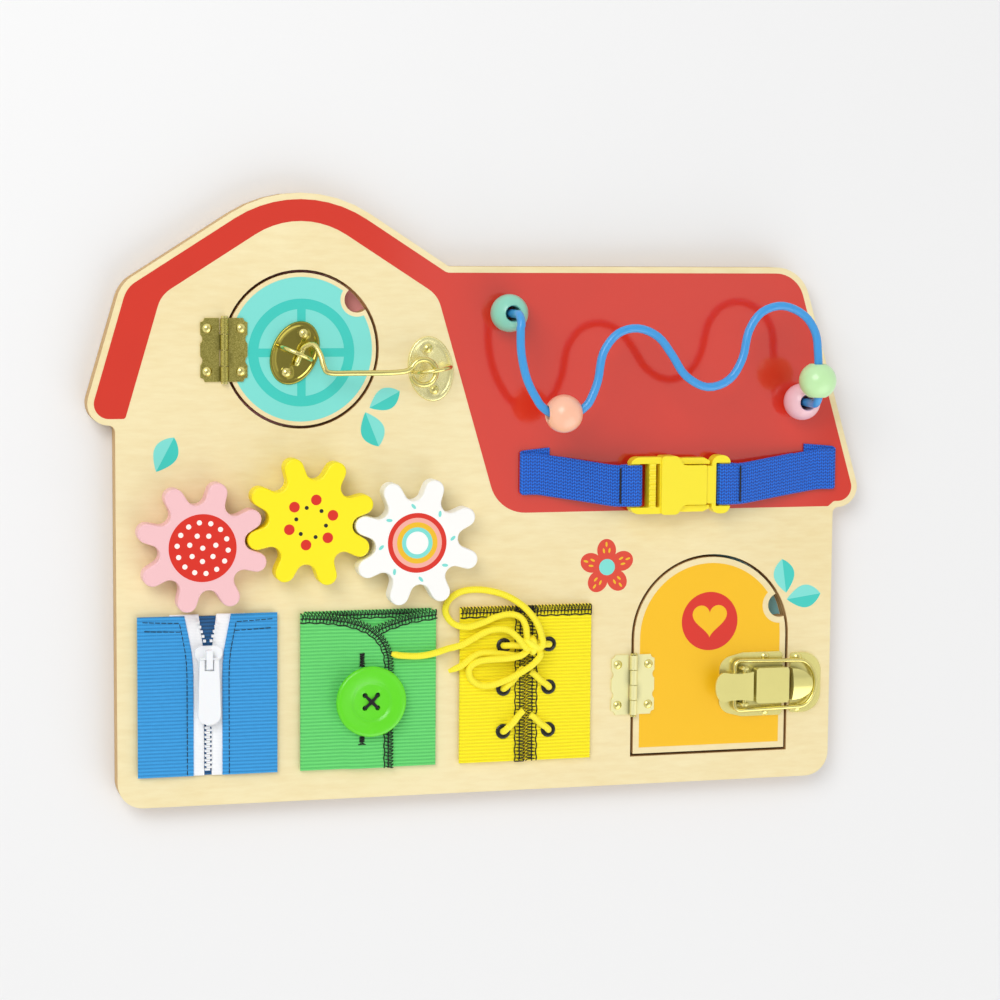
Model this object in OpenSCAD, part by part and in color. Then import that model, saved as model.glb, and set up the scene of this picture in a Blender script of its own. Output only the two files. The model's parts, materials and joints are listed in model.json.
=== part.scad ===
// Barn-shaped wooden busy board, lying on its back: X to the right, Y to the roof, Z out of the face.
// The origin is under the middle of the back face. All lengths are millimetres, all angles degrees.

/* [Board] */
// Width of the board between its two side walls
wall_w = 355; // [346:1:390]
// Height of the board from its bottom edge to the gable's top
board_h = 288; // [282:1:330]
// Thickness of the front board
front_t = 9; // [8:0.5:14]
// Thickness of the back panel
back_t = 3; // [2:0.5:6]
// How far the roof's sharp eaves reach past a wall
eave_out = 16; // [12:0.5:20]
// Rounding of the eaves' tips
eave_r = 10; // [4:0.5:11]
// Middle of the gable
gable_x = -90.5; // [-96:0.5:-85]
// Height of the long roof's ridge below the gable's top
ridge_drop = 34.5; // [30:0.5:36]
// Rounding of the gable's top
gable_r = 61; // [30:1:70]
// Rounding of the board's bottom corners
corner_r = 12; // [3:1:20]
// Diameter of the screws that hold the back panel
screw_d = 3; // [2.5:0.5:4]
// Length of those screws
screw_len = 9; // [7:0.5:10]

/* [Doors] */
// Radius of the round cut-out
round_cut_r = 37.2; // [35:0.2:39]
// Middle of the round cut-out, below the gable's top
round_drop = 73.1; // [70:0.1:76]
// Gap around each door
door_gap = 1.4; // [1.2:0.1:2]
// Gap between the doors and the back panel
door_lift = 0.4; // [0.3:0.1:1]
// Radius of the finger notches
notch_r = 6; // [4:0.5:7]
// Width of the arched cut-out
arch_w = 81.6; // [80.6:0.2:83]
// Middle of the arched cut-out, across the board
arch_x = 114.3; // [113.8:0.1:114.6]
// Foot of the arched cut-out, above the board's bottom edge
arch_foot = 14; // [10:0.5:20]
// Middle of its round top, above its foot
arch_rise = 58.5; // [56:0.5:61]

/* [Hinges] */
// Height of a hinge along its pin
hinge_h = 29.6; // [28:0.2:34]
// Width of one leaf, out from the pin
leaf_w = 11; // [10:0.2:13]
// Thickness of a leaf
leaf_t = 0.9; // [0.7:0.1:1.2]
// Outer radius of a knuckle
knuckle_r = 1.9; // [1.6:0.1:2.1]
// Diameter of a hinge pin
hinge_pin_d = 1.8; // [1.4:0.1:2]
// Distance between the two nails of a leaf
leaf_nail_pitch = 20; // [18:0.5:21]
// Middle of the arched door's hinge, above the door's foot
arch_hinge_rise = 36.1; // [30:0.1:40]
// Diameter of a nail's shank
nail_d = 1.6; // [1.2:0.1:2]
// Diameter of a nail's head
nail_head_d = 4.4; // [3.6:0.2:5]
// Length of a nail below its head
nail_len = 7; // [5:0.5:7.5]

/* [Hook and eye] */
// Thickness of the wire of the two eyes
hook_wire_d = 2; // [1.6:0.1:2.2]
// Thickness of the wire of the hook itself
hook_d = 2.6; // [2:0.1:2.7]
// Long axis of an oval plate
oval_len = 31; // [29:0.5:34]
// Short axis of an oval plate
oval_w = 22; // [20.5:0.5:23]
// Thickness of an oval plate
oval_t = 1.2; // [0.8:0.1:1.4]
// Height of the hook's arm over the board's face
hook_arm_z = 13.5; // [13:0.1:14]

/* [Latch] */
// Middle of the latch, above the arched door's foot
latch_rise = 34; // [31:0.5:36]
// Width of the latch's base plate
latch_w = 32; // [30:0.5:34]
// Thickness of the base plate and the strike plate
latch_t = 1; // [0.8:0.1:1.2]
// Thickness of the bail's wire
bail_d = 2; // [1.6:0.1:2.2]
// Distance between the bail's two arms
bail_w = 23.2; // [22:0.2:25]
// Width of the lever's tongue
lever_w = 14.6; // [13:0.2:14.8]

/* [Gears] */
// Distance between two gears that mesh
gear_pitch = 52; // [51.8:0.1:53]
// Radius over a gear's tooth tips
gear_tip_r = 31; // [30:0.1:31.2]
// Radius at the bottom of its valleys
gear_root_r = 20; // [19:0.1:20.2]
// Rounding of a tooth's tip
tooth_r = 4.6; // [4:0.1:4.8]
// Rounding of a valley
valley_r = 4.6; // [4.4:0.1:5]
// Thickness of a gear
gear_t = 10; // [8:0.5:14]
// Thickness of the washer under a gear
washer_t = 3; // [2:0.5:5]
// Diameter of a gear's axle
axle_d = 8; // [6:0.5:12]
// Running clearance around the axle
axle_clear = 0.1; // [0.05:0.01:0.1]

/* [Bead run] */
// Thickness of the bead wire
wire_d = 4; // [3:0.2:4.4]
// Height of the wire over the board's face
wire_h = 30; // [29.5:0.5:38]
// Diameter of a bead
bead_d = 18; // [16:0.5:18]
// Bore of a bead
bead_bore = 7.2; // [6.8:0.2:8]
// Flat-to-flat length of a bead
bead_len = 16; // [12:0.5:17]

/* [Strap] */
// Width of the webbing
web_w = 20; // [18:0.5:22]
// Thickness of the webbing
web_t = 1.4; // [1:0.1:1.6]
// Middle of the strap, up the board
strap_y = 10.6; // [8:0.2:12]
// Middle of the buckle, up the board, where the strap sags
buckle_y = 4.8; // [3:0.2:12]
// Height of the buckle's underside over the board's face
buckle_lift = 3; // [2:0.5:5]
// Thickness of the buckle's shell
buckle_t = 9; // [8:0.5:11]

/* [Patches] */
// Width of the cloth patches
patch_w = 66; // [62:1:68]
// Height of the cloth patches
patch_h = 76; // [74:1:77]
// Thickness of one layer of cloth
cloth_t = 1.3; // [1:0.1:1.6]
// Middle of the zip patch, across the board
zip_x = -135.3; // [-137:0.1:-134]
// Middle of the button patch, across the board
button_x = -58.3; // [-60:0.1:-57]
// Middle of the lace patch, across the board
lace_x = 19.3; // [18:0.1:21]
// Gap between the patches and the board's bottom edge
patch_foot = 15; // [13:0.5:17]
// Diameter of the button
button_d = 34; // [28:1:36]
// Thickness of the button
button_t = 4; // [3:0.5:5]
// Outer diameter of an eyelet
eyelet_d = 7.2; // [6.6:0.2:8]
// Distance between two rows of eyelets
eyelet_pitch = 21; // [20:0.5:23]
// Thickness of the lace
lace_d = 3.2; // [2.8:0.2:3.4]

/* [Hidden] */

$fn = 48;
eps = 0.01;
wire_sides = 10;
face_z = back_t + front_t;

// Colours
birch = "#EBDAA5";
brass = "#DCC878";
red = "#CD3C2D";
yellow = "#F5E61E";

// Vectors and smooth routes
function unit(v) = v / norm(v);
function flat(lists) = [for (l = lists) for (e = l) e];
function turned(p, a) = [p.x * cos(a) - p.y * sin(a), p.x * sin(a) + p.y * cos(a)];
function blend4(a, b, c, d, t) =
    0.5 * (2 * b + (c - a) * t + (2 * a - 5 * b + 4 * c - d) * t * t + (3 * b - a - 3 * c + d) * t * t * t);
function smooth_route(p, steps) = let (n = len(p) - 1) concat(
    flat([for (i = [0:n - 1]) [for (s = [0:steps - 1])
        blend4(p[max(i - 1, 0)], p[i], p[i + 1], p[min(i + 2, n)], s / steps)]]),
    [p[n]]);
function arc(centre, u, v, r, from, to, n) =
    [for (i = [0:n]) let (a = from + (to - from) * i / n) centre + r * (cos(a) * u + sin(a) * v)];

// A round tube along a route, carried without twist
function tangents(p) = let (n = len(p) - 1) [for (i = [0:n]) unit(p[min(i + 1, n)] - p[max(i - 1, 0)])];
function across(t) = unit(cross(t, abs(t.z) < 0.8 ? [0, 0, 1] : [0, 1, 0]));
function carried(t, m, i = 0) = i == len(t) ? [] :
    let (w = unit(m - (m * t[i]) * t[i])) concat([w], carried(t, w, i + 1));

module tube(route, r, sides = wire_sides) {
    t = tangents(route);
    m = carried(t, across(t[0]));
    last = len(route) - 1;
    points = [for (i = [0:last]) for (k = [0:sides - 1]) let (a = 360 * k / sides)
        route[i] + r * (cos(a) * m[i] + sin(a) * cross(t[i], m[i]))];
    walls = [for (i = [0:last - 1]) for (k = [0:sides - 1]) let (j = (k + 1) % sides)
        [[i * sides + k, (i + 1) * sides + k, i * sides + j],
         [i * sides + j, (i + 1) * sides + k, (i + 1) * sides + j]]];
    near_cap = [for (k = [0:sides - 1]) k];
    far_cap = [for (k = [sides - 1:-1:0]) last * sides + k];
    polyhedron(points, concat(flat(walls), [near_cap, far_cap]));
}

// An outline with rounded corners: each corner is [x, y, radius]
function rounded(c) = flat([for (i = [0:len(c) - 1]) let (
    n = len(c),
    p = [c[i].x, c[i].y],
    u = unit([c[(i + n - 1) % n].x, c[(i + n - 1) % n].y] - p),
    w = unit([c[(i + 1) % n].x, c[(i + 1) % n].y] - p),
    half = acos(u * w) / 2,
    r = c[i][2],
    mid = p + unit(u + w) * r / sin(half),
    from = atan2((p + u * r / tan(half) - mid).y, (p + u * r / tan(half) - mid).x),
    to = atan2((p + w * r / tan(half) - mid).y, (p + w * r / tan(half) - mid).x),
    sweep = (to - from + 540) % 360 - 180,
    n_arc = max(2, ceil(abs(sweep) / 9))
) r == 0 ? [p] : [for (k = [0:n_arc]) mid + r * [cos(from + sweep * k / n_arc),
    sin(from + sweep * k / n_arc)]]]);
function ellipse(a, b, n = 48) = [for (k = [0:n - 1]) [a * cos(360 * k / n), b * sin(360 * k / n)]];

module plate(w, h, r, t) {
    linear_extrude(t) polygon(rounded([[-w / 2, -h / 2, r], [w / 2, -h / 2, r], [w / 2, h / 2, r],
        [-w / 2, h / 2, r]]));
}
module hole_at(p, d, z0, z1) {
    translate([p.x, p.y, z0]) cylinder(d = d, h = z1 - z0);
}

// Board outline
gambrel_slope = 0.64;
steep_slope = 3.4;
ridge_y = board_h / 2 - ridge_drop;
right_eave_y = -9;
left_eave_y = 36;
fillet_r = 3;
eave_x = wall_w / 2 + eave_out;
ridge_meet_x = -19.6;
ridge_end_x = eave_x - (ridge_y - right_eave_y) / steep_slope;
apex_y = ridge_y + (ridge_meet_x - gable_x) * gambrel_slope;
gable_foot_x = 2 * gable_x - ridge_meet_x;
knee_x = (left_eave_y + steep_slope * eave_x - ridge_y + gambrel_slope * gable_foot_x)
    / (gambrel_slope - steep_slope);
knee_y = ridge_y + gambrel_slope * (knee_x - gable_foot_x);
raw_outline = rounded([
    [-wall_w / 2, -board_h / 2, corner_r],
    [wall_w / 2, -board_h / 2, corner_r],
    [wall_w / 2, right_eave_y, fillet_r],
    [eave_x, right_eave_y, eave_r],
    [ridge_end_x, ridge_y, 18],
    [ridge_meet_x, ridge_y, 2],
    [gable_x, apex_y, gable_r],
    [knee_x, knee_y, 16],
    [-eave_x, left_eave_y, eave_r],
    [-wall_w / 2, left_eave_y, fillet_r]
]);
outline_xs = [for (p = raw_outline) p.x];
outline_ys = [for (p = raw_outline) p.y];
outline_mid = [max(outline_xs) + min(outline_xs), max(outline_ys) + min(outline_ys)] / 2;
outline = [for (p = raw_outline) p - outline_mid];
roof_top_y = max(outline_ys) - outline_mid.y;

// Doors and hinges
round_y = board_h / 2 - round_drop;
arch_foot_y = -board_h / 2 + arch_foot;
arch_top_y = arch_foot_y + arch_rise;
arch_hinge_y = arch_foot_y + arch_hinge_rise;
latch_y = arch_foot_y + latch_rise;
round_r = round_cut_r - door_gap;
round_axis_x = gable_x - round_cut_r + door_gap / 2;
arch_r = arch_w / 2;
arch_axis_x = arch_x - arch_r + door_gap / 2;
hinge_z = face_z + knuckle_r;
pin_bore_clear = 0.05;
knuckle_gap = 0.3;
leaf_clear = 0.4;
round_notch = [gable_x, round_y] + (round_r - 0.5) * [cos(41), sin(41)];
arch_notch = [arch_x, arch_top_y] + (arch_r - door_gap - 0.5) * [cos(22), sin(22)];

// Hook and eye: each staple has two legs and a half-round top
door_eye = [gable_x - 3.1, round_y - 1.6];
board_eye = [gable_x + 62.2, round_y - 9.5];
door_eye_turn = -24;
board_eye_turn = 9;
door_eye_r = 7.5;
board_eye_r = 8.4;
door_eye_leg = 4;
board_eye_leg = 5.4;
staple_depth = 5;
staple_hole_d = hook_wire_d + 0.2;
hook_seat = 136;
hook_loop_r = 6;
tip_z = 4.3;
tip_off = 2.2;
tip_len = 5.5;
hook_bends = [[11, 0.2, 0], [8.3, 3, -0.5], [6.9, 8.5, -2], [4.3, 13, -5.4]];
oval_nail_pitch = 20;

// Latch
latch_x0 = 119;
latch_x1 = 152;
pivot = [130.4, face_z + 6];
bail_pin = [126.1, face_z + 4];
pivot_d = 2;
ear_t = 1;
ear_r = 2.3;
ear_gap = bail_w / 2 - bail_d / 2 - lever_w / 2 - ear_t - 1.2;
bail_end_x = 168.4;
bail_spread = 0.8;
strike_x0 = 156.3;
strike_x1 = 172.4;
block_x0 = 136.4;
block_x1 = 153.6;
block_w = 17.6;
block_h = 6;
nose_x = 156.4;
nose_a = 9.4;
tongue_x0 = 114.7;
tongue_x1 = 134.5;
tongue_lift = 0.6;
tongue_t = 1.4;
latch_rivet_x = 142.8;
strike_rivet_x = 160;

// Gears
gears_above_patch = 43.9;
patch_bottom = -board_h / 2 + patch_foot;
patch_top_y = patch_bottom + patch_h;
gear_yellow_at = [gable_x + 2.2, patch_top_y + gears_above_patch];
gear_white_dir = -12;
gear_pink_dir = 192;
yellow_turn = 17.3;
tooth_step = 45;
gear_white_at = gear_yellow_at + gear_pitch * [cos(gear_white_dir), sin(gear_white_dir)];
gear_pink_at = gear_yellow_at + gear_pitch * [cos(gear_pink_dir), sin(gear_pink_dir)];
white_turn = 180 + 2 * gear_white_dir - yellow_turn + tooth_step / 2;
pink_turn = 180 + 2 * gear_pink_dir - yellow_turn + tooth_step / 2;
gear_z = face_z + washer_t;
gear_lift = 0.2;
axle_head_t = 2.5;
axle_depth = 7;
washer_d = 18;
gear_skin = 2;

// Bead run: the wire's corners seen from the front, each by its distance below the ridge
wire_z = face_z + wire_h;
wire_bend = 6;
left_post = [8, ridge_y - 21.5];
right_post = [156.9, ridge_y - 65];
wire_depth = 8;
peach_at = [29, ridge_y - 67.9];
lime_at = [156.6, ridge_y - 53.5];
bead_seat = 0.2;
dip_r = 15;
dip_drop = 1.1;
bead_hang = 1.2;
first_dip = [[7.6, 27.5], [8, 39.5], [11, 52]];
waves = [[45.5, 52.5], [48, 39.5], [55, 30.5], [65, 28], [75, 32], [82, 40.5], [89, 50.5], [100, 56],
    [111, 52.5],
    [117.5, 42.5], [120.5, 29.5], [127, 20.5], [137.6, 17.5], [148.5, 22], [154.5, 30.5], [156, 40.5],
        [156.5, 49.5]];
wire_run = concat(
    [for (p = first_dip) [p.x, ridge_y - p.y]],
    [for (a = [-150:30:-30]) peach_at + [dip_r * cos(a), dip_r - dip_drop + dip_r * sin(a)]],
    [for (p = waves) [p.x, ridge_y - p.y]]);

// Strap and buckle
strap_x0 = 15;
strap_x1 = 178.5;
buckle_x0 = 68.5;
buckle_x1 = 119.5;
strap_z = face_z + buckle_lift;

// Patches
cloth_z = face_z;
flap_z = face_z + cloth_t;
zip_tape_w = 13;
zip_gap_top = 8;
zip_apex_y = patch_top_y - 17;
slider_y = patch_top_y - 20;
slider_len = 12;
slider_w = 13;
slider_t = 1.6;
slider_z = flap_z + 2.3;
pull_len = 31;
pull_w = 11;
button_at = [button_x + 0.2, patch_top_y - 43];
button_z = face_z + 3 * cloth_t + 1;
eyelet_x = 11.3;
eyelet_row_y = patch_top_y - 19;
eyelet_rows = 3;
eyelet_bore = eyelet_d * 0.62;
eyelet_h = 0.8;
lace_z = flap_z + cloth_t + eyelet_h + lace_d / 2;
knot_at = [lace_x + 1.7, eyelet_row_y + 0.4, flap_z + cloth_t + 1.5 * lace_d + 0.2];

// Fasteners
screw_head_t = 1.2;
screw_inset = 6;
foot_screw_y = -board_h / 2 + screw_inset;
ridge_screw_y = ridge_y - 1.5 * screw_inset;
wall_screw_x = wall_w / 2 - 1.5 * screw_inset;
frame_screws = [[-150, foot_screw_y], [150, foot_screw_y], [-60, foot_screw_y], [62, foot_screw_y],
    [-wall_screw_x, 20], [wall_screw_x, 20], [60, -9], [20, ridge_screw_y], [140, ridge_screw_y],
    [gable_x + 30, ridge_y + 8], [gable_x - 60, ridge_y - 20], [-5, -20]];
frame_leaf_nails = concat(
    [for (s = [-1, 1]) [round_axis_x - leaf_w * 0.71, round_y + s * leaf_nail_pitch / 2]],
    [for (s = [-1, 1]) [arch_axis_x - leaf_w * 0.71, arch_hinge_y + s * leaf_nail_pitch / 2]]);
board_plate_nails = [for (s = [-1, 1]) board_eye + turned([0, s * oval_nail_pitch / 2], board_eye_turn)];
round_leaf_nails = [for (s = [-1, 1]) [round_axis_x + leaf_w * 0.72, round_y + s * leaf_nail_pitch / 2]];
door_plate_nails = [for (s = [-1, 1]) door_eye + turned([0, s * oval_nail_pitch / 2], door_eye_turn)];
arch_leaf_nails = [for (s = [-1, 1]) [arch_axis_x + leaf_w * 0.72, arch_hinge_y + s * leaf_nail_pitch / 2]];
latch_rivet_at = [for (s = [-1, 1]) [latch_rivet_x, latch_y + s * (latch_w / 2 - 2.4)]];
strike_rivet_at = [for (s = [-1, 1]) [strike_rivet_x, latch_y + s * (latch_w / 2 - 3.4)]];
strap_screw_at = [[strap_x0 + 7, strap_y], [strap_x1 - 8, strap_y]];
board_staple_legs = [for (s = [-1, 1]) board_eye + turned([s * board_eye_r, 0], board_eye_turn)];
door_staple_legs = [for (s = [-1, 1]) door_eye + turned([s * door_eye_r, 0], door_eye_turn)];

// A round-head nail that stands on z
module nail(z) {
    head_h = 1.1;
    ball_r = (nail_head_d * nail_head_d / 4 + head_h * head_h) / (2 * head_h);
    translate([0, 0, z]) intersection() {
        translate([0, 0, head_h - ball_r]) sphere(ball_r);
        cylinder(d = nail_head_d, h = head_h);
    }
    translate([0, 0, z - nail_len]) cylinder(d = nail_d, h = nail_len + eps);
}
module nails(list, z) {
    for (p = list) translate([p.x, p.y, 0]) nail(z);
}
module nail_holes(list, z) {
    for (p = list) hole_at(p, nail_d, z - nail_len, z + 5);
}

module arch_shape(grow) {
    r = arch_r - grow;
    foot = arch_foot_y + grow;
    polygon(concat([[arch_x - r, foot], [arch_x + r, foot]],
        [for (a = [0:4:180]) [arch_x, arch_top_y] + r * [cos(a), sin(a)]]));
}

module back_panel() {
    color("#B98A8A") difference() {
        linear_extrude(back_t) polygon(outline);
        for (p = frame_screws) {
            hole_at(p, screw_d, -1, back_t + 1);
            hole_at(p, 2 * screw_d, -1, screw_head_t);
        }
    }
}

module front_board() {
    color(birch) difference() {
        translate([0, 0, back_t]) linear_extrude(front_t) polygon(outline);
        hole_at([gable_x, round_y], 2 * round_cut_r, back_t - 1, face_z + 1);
        translate([0, 0, back_t - 1]) linear_extrude(front_t + 2) arch_shape(0);
        nail_holes(frame_leaf_nails, face_z + leaf_t);
        nail_holes(board_plate_nails, face_z + oval_t);
        for (p = board_staple_legs) hole_at(p, staple_hole_d, face_z - staple_depth, face_z + 1);
        for (p = strike_rivet_at) hole_at(p, nail_d, face_z + latch_t - nail_len, face_z + 1);
        for (p = strap_screw_at) hole_at(p, nail_d, face_z + web_t - nail_len, face_z + 1);
        for (p = [gear_pink_at, gear_yellow_at, gear_white_at])
            hole_at(p, axle_d, face_z - axle_depth, face_z + 1);
        for (p = [left_post, right_post]) hole_at(p, wire_d, face_z - wire_depth, face_z + 1);
        for (p = frame_screws) hole_at(p, screw_d, back_t - 1, screw_len);
    }
}

module assembly_screws() {
    color("silver") for (p = frame_screws) translate([p.x, p.y, 0]) difference() {
        union() {
            cylinder(d = screw_d, h = screw_len);
            translate([0, 0, 0.2]) cylinder(d = 2 * screw_d, h = screw_head_t - 0.2);
        }
        for (a = [0, 90]) rotate(a) translate([-screw_d * 0.7, -0.4, -0.5]) cube([screw_d * 1.4, 0.8, 1.2]);
    }
}

module round_door() {
    color("#7FE1D6") difference() {
        translate([gable_x, round_y, back_t + door_lift]) cylinder(r = round_r, h = front_t - door_lift,
            $fn = 96);
        hole_at(round_notch, 2 * notch_r, back_t, face_z + 1);
        nail_holes(round_leaf_nails, face_z + leaf_t);
        nail_holes(door_plate_nails, face_z + oval_t);
        for (p = door_staple_legs) hole_at(p, staple_hole_d, face_z - staple_depth, face_z + 1);
    }
}

module arched_door() {
    color("#FAC80F") difference() {
        translate([0, 0, back_t + door_lift]) linear_extrude(front_t - door_lift) arch_shape(door_gap);
        hole_at(arch_notch, 2 * notch_r, back_t, face_z + 1);
        nail_holes(arch_leaf_nails, face_z + leaf_t);
        for (p = latch_rivet_at) hole_at(p, nail_d, face_z + latch_t - nail_len, face_z + 1);
    }
}

// One leaf of a butt hinge: side is -1 for the frame's and 1 for the door's, which has the other knuckles
module hinge_leaf(side) {
    knuckle_h = hinge_h / 4;
    first = side < 0 ? 0 : 1;
    scallop_r = 2.6;
    difference() {
        union() {
            difference() {
                translate([side < 0 ? -leaf_w : knuckle_r + leaf_clear, -hinge_h / 2, 0])
                    cube([leaf_w - knuckle_r - leaf_clear, hinge_h, leaf_t]);
                for (k = [-1, 1]) translate([side * (leaf_w + scallop_r * 0.62), k * hinge_h * 0.17, -1])
                    cylinder(r = scallop_r, h = leaf_t + 2);
                for (k = [-1, 1]) translate([side * leaf_w, k * hinge_h / 2, -1])
                    cylinder(r = 1.9, h = leaf_t + 2);
            }
            for (k = [first, first + 2]) translate([0, -hinge_h / 2 + k * knuckle_h + knuckle_gap / 2, 0]) {
                translate([side < 0 ? -knuckle_r - leaf_clear - eps : 0, 0, 0])
                    cube([knuckle_r + leaf_clear + eps, knuckle_h - knuckle_gap, leaf_t]);
                translate([0, 0, knuckle_r]) rotate([-90, 0, 0])
                    cylinder(r = knuckle_r, h = knuckle_h - knuckle_gap);
            }
        }
        translate([0, -hinge_h / 2 - 1, knuckle_r]) rotate([-90, 0, 0])
            cylinder(d = hinge_pin_d + 2 * pin_bore_clear, h = hinge_h + 2);
        nail_x = side < 0 ? -leaf_w * 0.71 : leaf_w * 0.72;
        for (s = [-1, 1]) hole_at([nail_x, s * leaf_nail_pitch / 2], nail_d, -1, leaf_t + 1);
    }
}
module hinge_pin() {
    cap_h = 0.8;
    for (s = [0, 1]) mirror([0, s, 0]) translate([0, hinge_h / 2 + 0.1, knuckle_r]) rotate([-90, 0, 0])
        cylinder(d = hinge_pin_d + 1.2, h = cap_h);
    translate([0, -hinge_h / 2 - 0.1 - eps, knuckle_r]) rotate([-90, 0, 0])
        cylinder(d = hinge_pin_d, h = hinge_h + 0.2 + 2 * eps);
}
module at_round_hinge() {
    translate([round_axis_x, round_y, face_z]) children();
}
module at_arched_hinge() {
    translate([arch_axis_x, arch_hinge_y, face_z]) children();
}
module round_hinge_frame_leaf() { color(brass) at_round_hinge() hinge_leaf(-1); }
module round_hinge_door_leaf() { color(brass) at_round_hinge() hinge_leaf(1); }
module round_hinge_pin() { color(brass) at_round_hinge() hinge_pin(); }
module arched_hinge_frame_leaf() { color(brass) at_arched_hinge() hinge_leaf(-1); }
module arched_hinge_door_leaf() { color(brass) at_arched_hinge() hinge_leaf(1); }
module arched_hinge_pin() { color(brass) at_arched_hinge() hinge_pin(); }

module frame_nails() {
    color(brass) {
        nails(frame_leaf_nails, face_z + leaf_t);
        nails(board_plate_nails, face_z + oval_t);
    }
}
module round_door_nails() {
    color(brass) {
        nails(round_leaf_nails, face_z + leaf_t);
        nails(door_plate_nails, face_z + oval_t);
    }
}
module arched_door_nails() {
    color(brass) nails(arch_leaf_nails, face_z + leaf_t);
}

module oval_plate(at, turn, legs, list) {
    difference() {
        translate([at.x, at.y, face_z]) rotate(turn) linear_extrude(oval_t)
            polygon(ellipse(oval_w / 2, oval_len / 2));
        for (p = legs) hole_at(p, staple_hole_d, face_z - 1, face_z + oval_t + 1);
        for (p = list) hole_at(p, nail_d, face_z - 1, face_z + oval_t + 1);
    }
}
function staple_route(at, turn, r, leg) = let (
    u = [cos(turn), sin(turn), 0],
    mid = [at.x, at.y, face_z + leg]
) concat(
    [mid + r * u - [0, 0, leg + staple_depth]],
    arc(mid, u, [0, 0, 1], r, 0, 180, 18),
    [mid - r * u - [0, 0, leg + staple_depth]]);

module hook_board_plate() { color(brass) oval_plate(board_eye, board_eye_turn, board_staple_legs,
    board_plate_nails); }
module hook_door_plate() { color(brass) oval_plate(door_eye, door_eye_turn, door_staple_legs,
    door_plate_nails); }
module hook_board_staple() {
    color(brass) tube(staple_route(board_eye, board_eye_turn, board_eye_r, board_eye_leg), hook_wire_d / 2);
}
module hook_door_staple() {
    color(brass) tube(staple_route(door_eye, door_eye_turn, door_eye_r, door_eye_leg), hook_wire_d / 2);
}

// The hook turns about the place where its loop hangs on the board's staple
hook_u = [cos(board_eye_turn), sin(board_eye_turn), 0];
hook_pivot = [board_eye.x, board_eye.y, face_z + board_eye_leg]
    + board_eye_r * (cos(hook_seat) * hook_u + sin(hook_seat) * [0, 0, 1]);
ring_u = [cos(door_eye_turn), sin(door_eye_turn), 0];
ring_n = [-sin(door_eye_turn), cos(door_eye_turn), 0];
ring_through = [door_eye.x, door_eye.y, face_z + tip_z] + tip_off * ring_u;
arm_z = face_z + hook_arm_z;
hook_route = concat(
    arc(hook_pivot, [1, 0, 0], [0, 1, 0], hook_loop_r, 198, 198 + 318, 30),
    smooth_route([
        hook_pivot + [-hook_loop_r - 1.5, 0.9, 0.4],
        hook_pivot + [-hook_loop_r - 5, 0.3, 1.2],
        [hook_pivot.x - 18, hook_pivot.y, arm_z],
        [hook_pivot.x - 33, hook_pivot.y, arm_z],
        for (b = hook_bends) [gable_x + b.x, hook_pivot.y + b.y, arm_z + b.z],
        ring_through + 4 * ring_n + [0, 0, 0.5],
        ring_through,
        ring_through - tip_len * ring_n
    ], 4));
module hook() { color(brass) tube(hook_route, hook_d / 2); }

// Toggle latch
module latch_base() {
    nose_r = latch_w / 2 - 6;
    color(brass) {
        difference() {
            translate([0, latch_y, face_z]) linear_extrude(latch_t) polygon(rounded([
                [latch_x0, -latch_w / 2 + 3, nose_r * 0.7], [latch_x0 + 12, -latch_w / 2, 2],
                [latch_x1, -latch_w / 2, 2], [latch_x1, latch_w / 2, 2],
                [latch_x0 + 12, latch_w / 2, 2], [latch_x0, latch_w / 2 - 3, nose_r * 0.7]]));
            for (p = latch_rivet_at) hole_at(p, nail_d, face_z - 1, face_z + 2);
        }
        translate([block_x0, latch_y, face_z + latch_t - eps]) linear_extrude(block_h) polygon(rounded([
            [0, -block_w / 2, 1.5], [block_x1 - block_x0, -block_w / 2, 1.5],
            [block_x1 - block_x0, block_w / 2, 1.5], [0, block_w / 2, 1.5]]));
        for (s = [-1, 1]) difference() {
            ear_y = latch_y + s * (lever_w / 2 + ear_gap + ear_t / 2) - ear_t / 2;
            union() {
                translate([pivot.x - ear_r, ear_y, face_z + latch_t - eps])
                    cube([2 * ear_r, ear_t, pivot.y - face_z - latch_t]);
                translate([pivot.x, ear_y, pivot.y]) rotate([-90, 0, 0]) cylinder(r = ear_r, h = ear_t);
            }
            translate([pivot.x, latch_y - 20, pivot.y]) rotate([-90, 0, 0]) cylinder(d = pivot_d, h = 40);
        }
    }
}
module latch_pivot_pin() {
    half = lever_w / 2 + ear_gap + ear_t;
    color(brass) {
        translate([pivot.x, latch_y - half, pivot.y]) rotate([-90, 0, 0])
            cylinder(d = pivot_d, h = 2 * half);
        for (s = [0, 1]) translate([pivot.x, latch_y + (s == 0 ? -half - 0.7 : half), pivot.y])
            rotate([-90, 0, 0]) cylinder(d = pivot_d + 1.2, h = 0.7);
    }
}
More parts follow.
